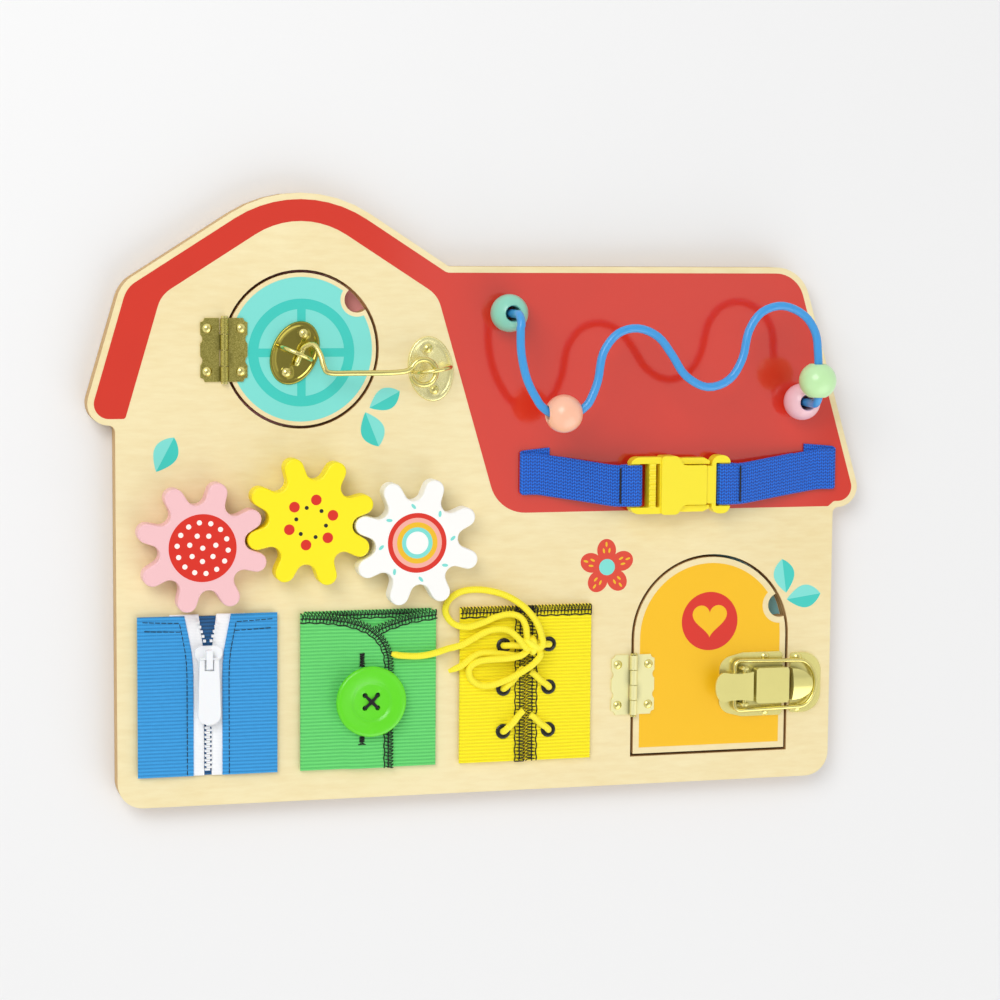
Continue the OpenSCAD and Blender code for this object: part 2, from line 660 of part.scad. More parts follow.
module latch_lever() {
    lug_t = 1.5;
    lug_r = 2.4;
    barrel_r = 1.9;
    half = lever_w / 2;
    shoulder_x = tongue_x0 + 4.4;
    waist = 0.8;
    color(brass) difference() {
        union() {
            translate([0, latch_y, pivot.y + tongue_lift]) linear_extrude(tongue_t) polygon(concat(
                [for (i = [0:8]) [shoulder_x + (tongue_x1 - shoulder_x) * i / 8,
                    waist * sin(22.5 * i) - half]],
                [for (i = [8:-1:0]) [shoulder_x + (tongue_x1 - shoulder_x) * i / 8,
                    half - waist * sin(22.5 * i)]],
                [for (a = [105:15:255]) [shoulder_x + (shoulder_x - tongue_x0) * cos(a), half * sin(a)]]));
            translate([pivot.x, latch_y - half + 0.6, pivot.y]) rotate([-90, 0, 0])
                cylinder(r = barrel_r, h = lever_w - 1.2);
            for (s = [-1, 1]) translate([0, latch_y + s * (half - 0.6 - lug_t / 2), 0]) {
                translate([bail_pin.x, -lug_t / 2, bail_pin.y]) rotate([-90, 0, 0])
                    cylinder(r = lug_r, h = lug_t);
                translate([bail_pin.x - lug_r, -lug_t / 2, bail_pin.y])
                    cube([pivot.x - bail_pin.x + lug_r, lug_t, pivot.y - bail_pin.y + tongue_lift + 0.1]);
            }
        }
        translate([pivot.x, latch_y - 20, pivot.y]) rotate([-90, 0, 0]) cylinder(d = pivot_d + 0.1, h = 40);
        translate([bail_pin.x, latch_y - 20, bail_pin.y]) rotate([-90, 0, 0])
            cylinder(d = bail_d + 0.15, h = 40);
    }
}
module latch_bail() {
    y0 = latch_y;
    in_y = lever_w / 2 - 2.4;
    bend = 3;
    wide = bail_w / 2 + bail_spread;
    side = [for (s = [1, -1]) [
        [bail_pin.x, y0 + s * in_y, bail_pin.y],
        for (a = [0:15:90]) [bail_pin.x + bend * (1 - cos(a)), y0 + s * (wide - bend + bend * sin(a)),
            bail_pin.y],
        [bail_end_x - bail_w / 2 + 3, y0 + s * bail_w / 2, bail_pin.y]]];
    round_end = [for (a = [80:-10:-80]) [bail_end_x - bail_w / 2 + 3 + (bail_w / 2 - 3) * cos(a),
        y0 + bail_w / 2 * sin(a), bail_pin.y]];
    far = side[1];
    route = concat(side[0], round_end, [for (i = [len(far) - 1:-1:0]) far[i]]);
    color(brass) tube(route, bail_d / 2, 12);
}
module latch_strike() {
    nose_b = block_w / 2 - 1;
    color(brass) {
        difference() {
            translate([0, latch_y, face_z]) linear_extrude(latch_t) polygon(rounded([
                [strike_x0, -latch_w / 2 + 1, 1.5], [strike_x1, -latch_w / 2 + 1, latch_w * 0.3],
                [strike_x1, latch_w / 2 - 1, latch_w * 0.3], [strike_x0, latch_w / 2 - 1, 1.5]]));
            for (p = strike_rivet_at) hole_at(p, nail_d, face_z - 1, face_z + 2);
        }
        translate([0, latch_y, face_z + latch_t - eps]) intersection() {
            linear_extrude(block_h + 1) polygon(concat(
                [for (a = [-90:10:90]) [nose_x + nose_a * cos(a), nose_b * sin(a)]],
                [[nose_x - 0.8, nose_b], [nose_x - 0.8, -nose_b]]));
            translate([nose_x - 2, 0, 7 - 16]) rotate([0, 90, 0]) cylinder(r = 16, h = 12, $fn = 96);
        }
    }
}
module latch_rivets() {
    color(brass) nails(latch_rivet_at, face_z + latch_t);
}
module strike_rivets() {
    color(brass) nails(strike_rivet_at, face_z + latch_t);
}

// A gear's tooth: a round tip, a round valley and the straight flank between them
module gear_blank(turn, at) {
    tip_c = [gear_tip_r - tooth_r, 0];
    valley_c = (gear_root_r + valley_r) * [cos(tooth_step / 2), sin(tooth_step / 2)];
    reach = norm(valley_c - tip_c);
    lean = atan2((valley_c - tip_c).y, (valley_c - tip_c).x);
    flank = lean - acos((tooth_r + valley_r) / reach);
    half = concat(
        [for (i = [0:6]) tip_c + tooth_r * [cos(flank * i / 6), sin(flank * i / 6)]],
        [for (i = [0:6]) let (a = flank + 180 + (tooth_step / 2 - flank) * i / 6)
            valley_c + valley_r * [cos(a), sin(a)]]);
    n = len(half);
    mirrored = [for (i = [n - 1:-1:1]) [half[i].x, -half[i].y]];
    tooth = concat(mirrored, half);
    outline = flat([for (k = [0:7]) [for (i = [0:len(tooth) - 2]) turned(tooth[i], k * tooth_step)]]);
    translate([at.x, at.y, gear_z + gear_lift]) rotate(turn) difference() {
        linear_extrude(gear_t) polygon(outline);
        translate([0, 0, -1]) cylinder(d = axle_d + 2 * axle_clear, h = gear_t - gear_skin + 1);
    }
}
module gear_pink() { color("#F3BEC3") gear_blank(pink_turn, gear_pink_at); }
module gear_yellow() { color(yellow) gear_blank(yellow_turn, gear_yellow_at); }
module gear_white() { color("#F7F5F0") gear_blank(white_turn, gear_white_at); }
module gear_washers() {
    color(birch) for (p = [gear_pink_at, gear_yellow_at, gear_white_at]) translate([p.x, p.y, face_z])
        difference() {
        cylinder(d = washer_d, h = washer_t);
        translate([0, 0, -1]) cylinder(d = axle_d, h = washer_t + 2);
    }
}
module gear_axles() {
    color(birch) for (p = [gear_pink_at, gear_yellow_at, gear_white_at])
        translate([p.x, p.y, face_z - axle_depth])
        cylinder(d = axle_d, h = axle_depth + washer_t + gear_lift + gear_t - gear_skin - 0.3);
}

// Bead run
wire_route = concat(
    [[left_post.x, left_post.y, face_z - wire_depth], [left_post.x, left_post.y, face_z + 6],
        [left_post.x, left_post.y, face_z + 16]],
    arc([left_post.x, left_post.y - wire_bend, wire_z - wire_bend], [0, 1, 0], [0, 0, 1], wire_bend, 0,
        80, 6),
    smooth_route([for (p = wire_run) [p.x, p.y, wire_z]], 3),
    arc([right_post.x, right_post.y + wire_bend, wire_z - wire_bend], [0, -1, 0], [0, 0, 1], wire_bend,
        80, 0, 6),
    [[right_post.x, right_post.y, face_z + 16], [right_post.x, right_post.y, face_z + 6],
        [right_post.x, right_post.y, face_z - wire_depth]]);
module bead_wire() { color("#3C96DC") tube(wire_route, wire_d / 2); }

module bead(tint) {
    color(tint) difference() {
        intersection() {
            sphere(d = bead_d);
            cylinder(d = bead_d + 2, h = bead_len, center = true);
        }
        cylinder(d = bead_bore, h = bead_d + 2, center = true);
    }
}
bead_rest_z = face_z + bead_len / 2 + bead_seat;
module mint_bead() { translate([left_post.x, left_post.y, bead_rest_z]) bead("#82CDB4"); }
module pink_bead() { translate([right_post.x, right_post.y, bead_rest_z]) bead("#F0BEC8"); }
module peach_bead() { translate([peach_at.x, peach_at.y, wire_z]) rotate([0, 90, 0]) bead("#FABEA0"); }
module lime_bead() {
    translate([lime_at.x, lime_at.y, wire_z - bead_hang]) rotate([90, 0, 0]) bead("#BEEBAA");
}

// Strap halves: a screwed end flat on the board, a rise, and a loop around the buckle's end bar
buckle_z = strap_z + buckle_t / 2;
bar_half = 2.1;
loop_gap = 0.3;
neck_run = 7;
module web_profile(points, over = 0) {
    translate([0, web_w / 2 + over, 0]) rotate([90, 0, 0]) linear_extrude(web_w + 2 * over) polygon(points);
}
module webbing(side) {
    end_x = side < 0 ? strap_x0 : strap_x1;
    bar_in = side < 0 ? buckle_x0 + bar_w : buckle_x1 - bar_w;
    bar_out = side < 0 ? buckle_x0 : buckle_x1;
    in = -side;
    high = bar_half + loop_gap;
    neck_x = bar_out - in * neck_run;
    slant = (strap_y - buckle_y) / (end_x - neck_x);
    multmatrix([[1, 0, 0, 0], [slant, 1, 0, buckle_y - slant * neck_x], [0, 0, 1, 0], [0, 0, 0, 1]])
        web_profile([
            [end_x, face_z], [end_x + in * 16, face_z], [neck_x + in * eps, buckle_z - web_t],
            [neck_x + in * eps, buckle_z + web_t], [end_x + in * 17, face_z + 2 * web_t],
            [end_x, face_z + 2 * web_t]]);
    translate([0, buckle_y, 0]) difference() {
        web_profile([
            [neck_x, buckle_z - web_t], [bar_out, buckle_z - high - web_t],
            [bar_in - in * 0.6, buckle_z - high - web_t],
            [bar_in + in * (loop_gap + web_t), buckle_z - high + 0.6],
            [bar_in + in * (loop_gap + web_t), buckle_z + high - 0.6],
            [bar_in - in * 0.6, buckle_z + high + web_t], [bar_out, buckle_z + high + web_t],
            [neck_x, buckle_z + web_t]]);
        web_profile([
            [neck_x + in * 2, buckle_z], [bar_out - in * loop_gap, buckle_z - high],
            [bar_in, buckle_z - high], [bar_in + in * loop_gap, buckle_z - high + 0.8],
            [bar_in + in * loop_gap, buckle_z + high - 0.8], [bar_in, buckle_z + high],
            [bar_out - in * loop_gap, buckle_z + high]], 1);
    }
}
module hidden_nail_room(p) {
    hole_at(p, nail_d, face_z - 1, face_z + web_t + eps);
    hole_at(p, nail_head_d + 0.4, face_z + web_t, face_z + web_t + 1.15);
}
module strap_left() {
    color("#145AC8") difference() {
        webbing(-1);
        hidden_nail_room(strap_screw_at[0]);
    }
}
module strap_right() {
    color("#145AC8") difference() {
        webbing(1);
        hidden_nail_room(strap_screw_at[1]);
    }
}
module strap_screws() {
    color(brass) nails(strap_screw_at, face_z + web_t);
}

// Buckle: end bar, ladder bar and shell; the tongue slides in the shell and the prongs lie along its waist
bar_w = 5;
buckle_w = 28.4;
slot_half = web_w / 2 + 0.6;
shell_x = buckle_x0 + 15.5;
waist_x = buckle_x0 + 25.5;
mouth_x = buckle_x0 + 38.5;
waist_half = 9.6;
prong_half = 13.2;
bar_cut = 5;
module slab(half_h, x0, x1, half_y, r) {
    translate([0, 0, buckle_z - half_h]) linear_extrude(2 * half_h) polygon(rounded([
        [x0, buckle_y - half_y, r], [x1, buckle_y - half_y, r], [x1, buckle_y + half_y, r],
            [x0, buckle_y + half_y, r]]));
}
module buckle_female() {
    half = buckle_w / 2;
    color("#FAE628") difference() {
        union() {
            slab(3.3, buckle_x0, shell_x + 3, half - 0.4, 4.4);
            translate([0, 0, buckle_z - buckle_t / 2]) linear_extrude(buckle_t) polygon(rounded([
                [shell_x, buckle_y - half, 1.5], [waist_x - 1.5, buckle_y - half, 3],
                    [waist_x + 1, buckle_y - waist_half, 3],
                [mouth_x, buckle_y - waist_half, 0.8], [mouth_x, buckle_y + waist_half, 0.8],
                [waist_x + 1, buckle_y + waist_half, 3], [waist_x - 1.5, buckle_y + half, 3],
                    [shell_x, buckle_y + half, 1.5]]));
        }
        slab(buckle_t, buckle_x0 + bar_w, buckle_x0 + 9.4, slot_half, 0.6);
        slab(buckle_t, buckle_x0 + 12.8, shell_x - 0.6, slot_half, 0.6);
        for (z = [bar_half, -bar_half - bar_cut]) translate([buckle_x0 - 1, buckle_y - slot_half,
            buckle_z + z])
            cube([bar_w + 1.5, 2 * slot_half, bar_cut]);
        slab(3, shell_x + 2, mouth_x + 5, 7.6, 0.5);
        for (s = [-1, 1]) translate([shell_x + 3.5, buckle_y + s * 11.6 - 2, buckle_z - 2.9])
            cube([waist_x - shell_x, 4, 5.8]);
    }
}
module buckle_male() {
    neck_x = mouth_x + 0.4;
    color("#FAE628") difference() {
        union() {
            slab(3.6, neck_x, neck_x + 4, waist_half - 0.4, 0.8);
            slab(3.3, neck_x + 2.6, buckle_x1, buckle_w / 2, 4);
            slab(2.7, mouth_x - 18, neck_x + 1, 4, 1);
        }
        slab(buckle_t, buckle_x1 - bar_w - 2.4, buckle_x1 - bar_w, slot_half, 0.6);
        for (z = [bar_half, -bar_half - bar_cut]) translate([buckle_x1 - bar_w - 0.5,
            buckle_y - slot_half, buckle_z + z])
            cube([bar_w + 1.5, 2 * slot_half, bar_cut]);
    }
}
module buckle_prongs() {
    color("#FAE628") for (s = [0, 1]) translate([0, buckle_y, buckle_z - 2.5]) mirror([0, s, 0])
        linear_extrude(5) polygon(rounded([
            [shell_x + 4.5, 10.2, 0.8], [waist_x + 1.5, 10, 1], [mouth_x + 0.5, 9.9, 0.4],
                [mouth_x + 2.2, 9.9, 0.4],
            [mouth_x + 2.2, 11.6, 0.6], [mouth_x - 1, prong_half, 2], [waist_x + 1.5, prong_half, 1.5],
            [shell_x + 4.5, prong_half - 0.8, 1]]));
}

// Zip patch
module patch_sheet(mid_x, z, x0, x1) {
    translate([mid_x + x0, patch_bottom, z]) cube([x1 - x0, patch_h, cloth_t]);
}
module zip_backing() { color("#2E6E9C") patch_sheet(zip_x, cloth_z, -patch_w / 2 + 2, patch_w / 2 - 2); }
module zip_flap(s) {
    inner = zip_tape_w / 2 + 0.1;
    translate([zip_x, 0, flap_z]) mirror([s < 0 ? 1 : 0, 0, 0]) linear_extrude(cloth_t) polygon([
        [inner, patch_bottom], [patch_w / 2, patch_bottom], [patch_w / 2, patch_top_y],
        [inner + 3 + zip_gap_top / 2, patch_top_y], [inner + 0.4, zip_apex_y - 2]]);
}
module zip_left_flap() { color("#3C96CD") zip_flap(-1); }
module zip_right_flap() { color("#3C96CD") zip_flap(1); }
module zip_tapes() {
    tooth_w = 3.4;
    color("white") translate([zip_x, 0, flap_z]) for (s = [0, 1]) mirror([s, 0, 0]) linear_extrude(0.9)
        polygon([
        [tooth_w / 2 + 0.1, patch_bottom + 1], [zip_tape_w / 2, patch_bottom + 1],
        [zip_tape_w / 2, zip_apex_y - 3], [zip_tape_w / 2 + 3 + zip_gap_top / 2, patch_top_y],
        [zip_gap_top / 2 + tooth_w / 2 + 0.4, patch_top_y], [tooth_w / 2 + 0.1, zip_apex_y - 3]]);
}
module zip_teeth() {
    tooth_pitch = 2.2;
    tooth_w = 3.2;
    low_y = patch_bottom + 3;
    n_closed = floor((slider_y - slider_len / 2 - 1.5 - low_y) / tooth_pitch);
    open_run = patch_top_y - (slider_y + slider_len / 2 + 1);
    n_open = floor(open_run / tooth_pitch);
    color("white") translate([zip_x, 0, flap_z + 0.01]) {
        for (i = [0:n_closed]) for (s = [-1, 1])
            translate([s > 0 ? -0.8 : -tooth_w / 2, low_y + (i + (s > 0 ? 0.5 : 0)) * tooth_pitch - 0.45,
                0])
                cube([tooth_w / 2 + 0.8, 0.9, 1.8]);
        for (i = [0:n_open - 1]) for (s = [-1, 1]) {
            rise = (i + 0.5) / n_open;
            translate([s * (1.2 + rise * zip_gap_top * 0.46) - 0.6,
                slider_y + slider_len / 2 + 1 + (i + 0.2) * tooth_pitch, 0])
                cube([1.2, 1.2, 1.8]);
        }
    }
}
module zip_slider() {
    bridge_w = 3;
    half = slider_w / 2;
    color("white") translate([zip_x, slider_y, slider_z]) {
        linear_extrude(slider_t) polygon(rounded([
            [-half + 2, -slider_len / 2, 1.5], [half - 2, -slider_len / 2, 1.5], [half - 1.6, -1, 1],
            [half, 1.5, 2], [half, slider_len / 2, 3.4], [-half, slider_len / 2, 3.4],
            [-half, 1.5, 2], [-half + 1.6, -1, 1]]));
        for (s = [-1, 1]) translate([s * (half - 1.1) - 0.5, 1.5, -1.1])
            cube([1, slider_len / 2 - 4.5, 1.2]);
        difference() {
            translate([-bridge_w / 2, -4.6, slider_t - eps]) cube([bridge_w, 9, 3.4]);
            translate([-bridge_w, -3.1, slider_t]) cube([2 * bridge_w, 6.1, 2.2]);
        }
    }
}
pull_t = 1.5;
module zip_pull() {
    hole_w = 4.4;
    color("white") translate([zip_x, slider_y, slider_z + slider_t + 0.3]) {
        difference() {
            linear_extrude(pull_t) polygon(rounded([
                [-pull_w / 2 + 1, -0.6, 0.4], [-pull_w / 2, -pull_len, pull_w * 0.44],
                [pull_w / 2, -pull_len, pull_w * 0.44], [pull_w / 2 - 1, -0.6, 0.4]]));
            translate([-hole_w / 2, -5.5, -1]) cube([hole_w, 5.5, pull_t + 2]);
        }
        translate([-pull_w / 2 + 1.2, 0, pull_t / 2]) rotate([0, 90, 0])
            cylinder(d = pull_t - 0.2, h = pull_w - 2.4);
    }
}

// Button patch: the left flap lies over the right one, and the button comes up through its slit
slit = [button_at.x, button_at.y + 22, button_at.y - 20];
module button_backing() { color("#3E8C5A") patch_sheet(button_x, cloth_z, -patch_w / 2 + 2,
    patch_w / 2 - 2); }
module button_right_flap() {
    color("#64CD73") patch_sheet(button_x, flap_z, -8, patch_w / 2);
}
module button_left_flap() {
    over_z = flap_z + cloth_t;
    edge_x = 11.6;
    color("#64CD73") difference() {
        translate([button_x, 0, 0]) union() {
            translate([0, 0, flap_z]) linear_extrude(2 * cloth_t) polygon([
                [-patch_w / 2, patch_bottom], [-8.4, patch_bottom], [-8.4, patch_top_y - 1],
                    [-patch_w / 2, patch_top_y]]);
            translate([0, 0, over_z]) linear_extrude(cloth_t) polygon([
                [-8.5, patch_bottom], [edge_x, patch_bottom], [edge_x, patch_top_y - 16],
                    [edge_x - 3, patch_top_y - 9],
                [edge_x - 9, patch_top_y - 4], [-8.5, patch_top_y - 1.5]]);
        }
        translate([slit.x - 0.6, slit.z, over_z - 0.5]) cube([1.2, slit.y - slit.z, 2 * cloth_t]);
    }
}
module coat_button() {
    rim_h = 1.2;
    hole_gap = 3;
    color("#64DE28") translate([button_at.x, button_at.y, button_z]) difference() {
        union() {
            cylinder(d1 = button_d - 3, d2 = button_d, h = button_t * 0.4);
            translate([0, 0, button_t * 0.4 - eps]) cylinder(d = button_d, h = button_t * 0.6);
        }
        translate([0, 0, button_t - rim_h]) cylinder(d = button_d * 0.56, h = rim_h + 1);
        for (a = [45:90:315]) rotate(a) translate([hole_gap * 1.45, 0, -1])
            cylinder(d = 2.4, h = button_t + 2);
    }
}
module button_thread() {
    reach = 4.35;
    top = button_z + button_t - 1.2;
    color("#1A1A1A") translate([button_at.x, button_at.y, 0]) {
        for (s = [-1, 1]) rotate(s * 45) {
            translate([-reach - 0.55, -0.5, top]) cube([2 * reach + 1.1, 1, 0.9]);
            translate([-reach - 0.5, -0.4, button_z - 0.85]) cube([2 * reach + 1, 0.8, 0.8]);
            for (k = [-1, 1]) translate([k * reach, 0, button_z - 0.85])
                cylinder(d = 1, h = top - button_z + 1);
        }
        translate([0, 0, flap_z + cloth_t]) cylinder(d = 1, h = button_z - flap_z - cloth_t - 0.1);
    }
}

// Lace patch
flap_meet = 0.2;
eyelet_at = [for (k = [0:eyelet_rows - 1]) for (s = [-1, 1])
    [lace_x + s * eyelet_x, eyelet_row_y - k * eyelet_pitch]];
module lace_backing() { color("#D8C81A") patch_sheet(lace_x, cloth_z, -patch_w / 2 + 2, patch_w / 2 - 2); }
module lace_flaps() {
    color(yellow) difference() {
        for (s = [0, 1]) translate([lace_x, 0, 0]) mirror([s, 0, 0])
            translate([flap_meet / 2, patch_bottom, flap_z]) cube([patch_w / 2 - flap_meet / 2, patch_h,
                cloth_t]);
        for (p = eyelet_at) hole_at(p, eyelet_d - 1.2, flap_z - 1, flap_z + cloth_t + 1);
    }
}
module eyelets() {
    color("#222222") for (p = eyelet_at) translate([p.x, p.y, flap_z]) difference() {
        union() {
            cylinder(d = eyelet_d - 1.2, h = cloth_t + eyelet_h);
            translate([0, 0, cloth_t]) cylinder(d = eyelet_d, h = eyelet_h);
        }
        translate([0, 0, -1]) cylinder(d = eyelet_bore, h = cloth_t + eyelet_h + 2);
    }
}

// Lacing rows: each strand comes up out of its eyelet and runs to the meeting line of the flaps
knot_r = lace_d + 0.1;
function strand(s, y, rise) = smooth_route([
    [lace_x + s * eyelet_x, y, flap_z + 0.7],
    [lace_x + s * (eyelet_x - 0.1), y + 0.02 * rise, flap_z + 2.6],
    [lace_x + s * (eyelet_x - 1.6), y + 0.2 * rise, lace_z + 0.3],
    [lace_x + s * (eyelet_x - 4.5), y + 0.45 * rise, lace_z],
    [lace_x + s * 4, y + 0.8 * rise, lace_z - 0.3],
    [lace_x + s * (lace_d / 2 + 0.15), y + rise, lace_z - 0.7]
], 3);
module lace_rows() {
    r = lace_d / 2;
    color(yellow) {
        tube(smooth_route([
            [lace_x - eyelet_x, eyelet_row_y, flap_z + 0.7], [lace_x - eyelet_x + 0.2, eyelet_row_y,
                flap_z + 2.6],
            [lace_x - 8, eyelet_row_y + 0.3, lace_z + 0.6], [lace_x - 3, knot_at.y - 0.2,
                knot_at.z - 0.5], knot_at,
            [lace_x + 6, knot_at.y - 0.2, knot_at.z - 0.8], [lace_x + 9.5, eyelet_row_y + 0.3, lace_z],
            [lace_x + eyelet_x - 0.1, eyelet_row_y, flap_z + 2.4],
                [lace_x + eyelet_x, eyelet_row_y, flap_z + 0.7]
        ], 3), r, 8);
        for (k = [1:eyelet_rows - 1]) for (s = [-1, 1])
            tube(strand(s, eyelet_row_y - k * eyelet_pitch, s * k > 0 ? 8 : 10), r, 8);
        translate(knot_at) rotate([0, 90, 0]) rotate_extrude() translate([knot_r, 0]) circle(r);
    }
}

// The bow: two loops and two ends, each from the knot and back to rest on the cloth or the board
on_board = face_z + lace_d / 2 + 0.05;
on_flap = flap_z + cloth_t + lace_d / 2 + 0.05;
upper_loop = [
    [25, -71.5, 23], [25, -67.5, 22.4], [22.5, -60, 21], [17, -53, 18.6], [9.5, -48, 16.4],
        [1, -45.3, 14.6],
    [-7.5, -44.6, 13.8], [-14.5, -46, on_board], [-19.5, -50, on_board], [-20.6, -55.5, on_board],
    [-17.4, -60.4, 15.9], [-10.5, -62.2, on_flap], [-3, -60.4, on_flap], [4, -57.8, on_flap],
        [10.5, -56.6, 17],
    [15.5, -58.2, 18.4], [17.6, -62.5, 20], [17.4, -67.6, 21]
];
lower_loop = [
    [25, -76.2, 21.6], [21.5, -80.5, 20.4], [15.5, -84.6, 19.6], [9, -88, 18.8], [2, -90.6, 17.4],
    [-4, -90.6, on_flap], [-8.6, -87.4, on_flap], [-9.4, -82.4, on_flap], [-5.4, -79, 17.4],
        [1, -77.9, 19.2],
    [8, -77.4, 20.6], [15, -76.2, 21.8]
];
upper_end = [
    [16.6, -72, 23.6], [13.2, -67.5, 22.2], [9, -64, 19.6], [3.5, -63.6, 17.4], [-2, -65.2, on_flap],
    [-8, -68.2, on_flap], [-13.5, -70.9, on_flap], [-20, -72.6, 15.4], [-27, -74.4, on_flap + 0.1],
    [-34, -75.4, on_flap], [-41, -75, on_flap + 0.5], [-45, -74.4, on_flap + 1.4],
    [-48, -73.6, on_flap + 1.4]
];
lower_end = [
    [15.6, -76.6, 17.9], [9, -76, 17.3], [3.5, -75.4, 17.1], [-4, -75.2, on_flap], [-9.5, -78, on_flap],
    [-13.5, -81, 16.2], [-19.4, -83.6, 15]
];
module at_bow() {
    translate([lace_x - 19.3, eyelet_row_y + 72, 0]) children();
}
module lace_loops() {
    color(yellow) at_bow() for (p = [upper_loop, lower_loop]) tube(smooth_route(p, 3), lace_d / 2, 8);
}
module lace_ends() {
    color(yellow) at_bow() for (p = [upper_end, lower_end]) tube(smooth_route(p, 3), lace_d / 2, 8);
}

back_panel();
front_board();
assembly_screws();
round_door();
arched_door();
round_hinge_frame_leaf();
round_hinge_door_leaf();
round_hinge_pin();
arched_hinge_frame_leaf();
arched_hinge_door_leaf();
arched_hinge_pin();
frame_nails();
round_door_nails();
arched_door_nails();
hook_board_plate();
hook_board_staple();
hook_door_plate();
hook_door_staple();
hook();
latch_base();
latch_pivot_pin();
latch_lever();
latch_bail();
latch_strike();
latch_rivets();
strike_rivets();
gear_pink();
gear_yellow();
gear_white();
gear_washers();
gear_axles();
bead_wire();
mint_bead();
peach_bead();
lime_bead();
pink_bead();
strap_left();
strap_right();
buckle_female();
buckle_male();
buckle_prongs();
strap_screws();
zip_backing();
zip_left_flap();
zip_right_flap();
zip_tapes();
zip_teeth();
zip_slider();
zip_pull();
button_backing();
button_left_flap();
button_right_flap();
coat_button();
button_thread();
lace_backing();
lace_flaps();
eyelets();
lace_rows();
lace_loops();
lace_ends();
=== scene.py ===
import json
import math
import random
import bpy
from mathutils import Matrix, Vector

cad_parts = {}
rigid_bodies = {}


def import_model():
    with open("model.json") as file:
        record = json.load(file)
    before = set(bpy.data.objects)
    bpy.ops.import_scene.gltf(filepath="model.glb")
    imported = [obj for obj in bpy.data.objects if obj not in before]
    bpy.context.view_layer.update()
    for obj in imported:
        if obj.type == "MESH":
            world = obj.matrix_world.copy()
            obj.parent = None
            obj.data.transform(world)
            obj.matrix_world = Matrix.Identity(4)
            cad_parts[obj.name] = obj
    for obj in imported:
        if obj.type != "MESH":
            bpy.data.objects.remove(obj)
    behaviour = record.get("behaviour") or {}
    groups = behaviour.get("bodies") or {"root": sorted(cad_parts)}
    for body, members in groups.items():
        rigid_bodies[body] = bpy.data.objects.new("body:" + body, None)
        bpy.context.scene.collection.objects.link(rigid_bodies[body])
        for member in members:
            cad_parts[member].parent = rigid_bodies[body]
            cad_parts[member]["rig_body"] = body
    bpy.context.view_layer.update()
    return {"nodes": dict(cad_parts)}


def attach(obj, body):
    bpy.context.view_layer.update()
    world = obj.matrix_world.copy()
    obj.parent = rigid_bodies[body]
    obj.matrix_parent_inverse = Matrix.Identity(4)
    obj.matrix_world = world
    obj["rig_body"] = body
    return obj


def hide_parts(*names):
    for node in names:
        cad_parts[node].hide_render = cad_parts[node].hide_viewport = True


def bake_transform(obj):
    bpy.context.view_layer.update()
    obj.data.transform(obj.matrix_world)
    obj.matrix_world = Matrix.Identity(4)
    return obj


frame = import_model()
nodes = frame["nodes"]
mm = 0.001
faceZ = 12.0
random.seed(7)


# small helpers

def deselectAll():
    if bpy.context.object and bpy.context.object.mode != "OBJECT":
        bpy.ops.object.mode_set(mode="OBJECT")
    bpy.ops.object.select_all(action="DESELECT")


def pick(*pieces):
    deselectAll()
    for piece in pieces:
        piece.select_set(True)
    bpy.context.view_layer.objects.active = pieces[0]


def joined(pieces, name):
    pick(*pieces)
    bpy.ops.object.join()
    piece = bpy.context.object
    piece.name = name
    return piece


def placed(piece):
    pick(piece)
    bpy.ops.object.transform_apply(location=True, rotation=True, scale=True)
    return piece


def withModifier(piece, kind, **values):
    pick(piece)
    modifier = piece.modifiers.new(kind.title(), kind)
    for key, value in values.items():
        setattr(modifier, key, value)
    bpy.ops.object.modifier_apply(modifier=modifier.name)


def smoothed(piece, angle=35):
    pick(piece)
    bpy.ops.object.shade_smooth_by_angle(angle=math.radians(angle))


def linked(name, data):
    piece = bpy.data.objects.new(name, data)
    bpy.context.scene.collection.objects.link(piece)
    return piece


def solid(name, verts, faces):
    # a mesh from points in millimetres
    mesh = bpy.data.meshes.new(name)
    mesh.from_pydata([tuple(v * mm for v in p) for p in verts], [], faces)
    return linked(name, mesh)


def facedOut(piece, merge=None):
    # normals point outwards; points closer together than merge, in metres, become one first
    pick(piece)
    bpy.ops.object.mode_set(mode="EDIT")
    bpy.ops.mesh.select_all(action="SELECT")
    if merge is not None:
        bpy.ops.mesh.remove_doubles(threshold=merge)
    bpy.ops.mesh.normals_make_consistent(inside=False)
    bpy.ops.object.mode_set(mode="OBJECT")
    return piece


def dressed(piece, material):
    piece.data.materials.clear()
    piece.data.materials.append(material)


def finished(piece, body, material, replaces=(), angle=35):
    # one last pass that every new piece goes through
    dressed(piece, material)
    placed(piece)
    if angle is not None:
        smoothed(piece, angle)
    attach(piece, body)
    if replaces:
        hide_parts(*replaces)
    return piece


def flatShape(name, rings, low, high):
    # closed outlines in millimetres, filled and given a thickness
    curve = bpy.data.curves.new(name, "CURVE")
    curve.dimensions = "2D"
    curve.fill_mode = "BOTH"
    for ring in rings:
        spline = curve.splines.new("POLY")
        spline.points.add(len(ring) - 1)
        for point, (x, y) in zip(spline.points, ring):
            point.co = (x * mm, y * mm, 0, 1)
        spline.use_cyclic_u = True
    curve.extrude = (high - low) / 2 * mm
    piece = linked(name, curve)
    piece.location.z = (low + high) / 2 * mm
    return placed(meshed(piece, 1e-6))


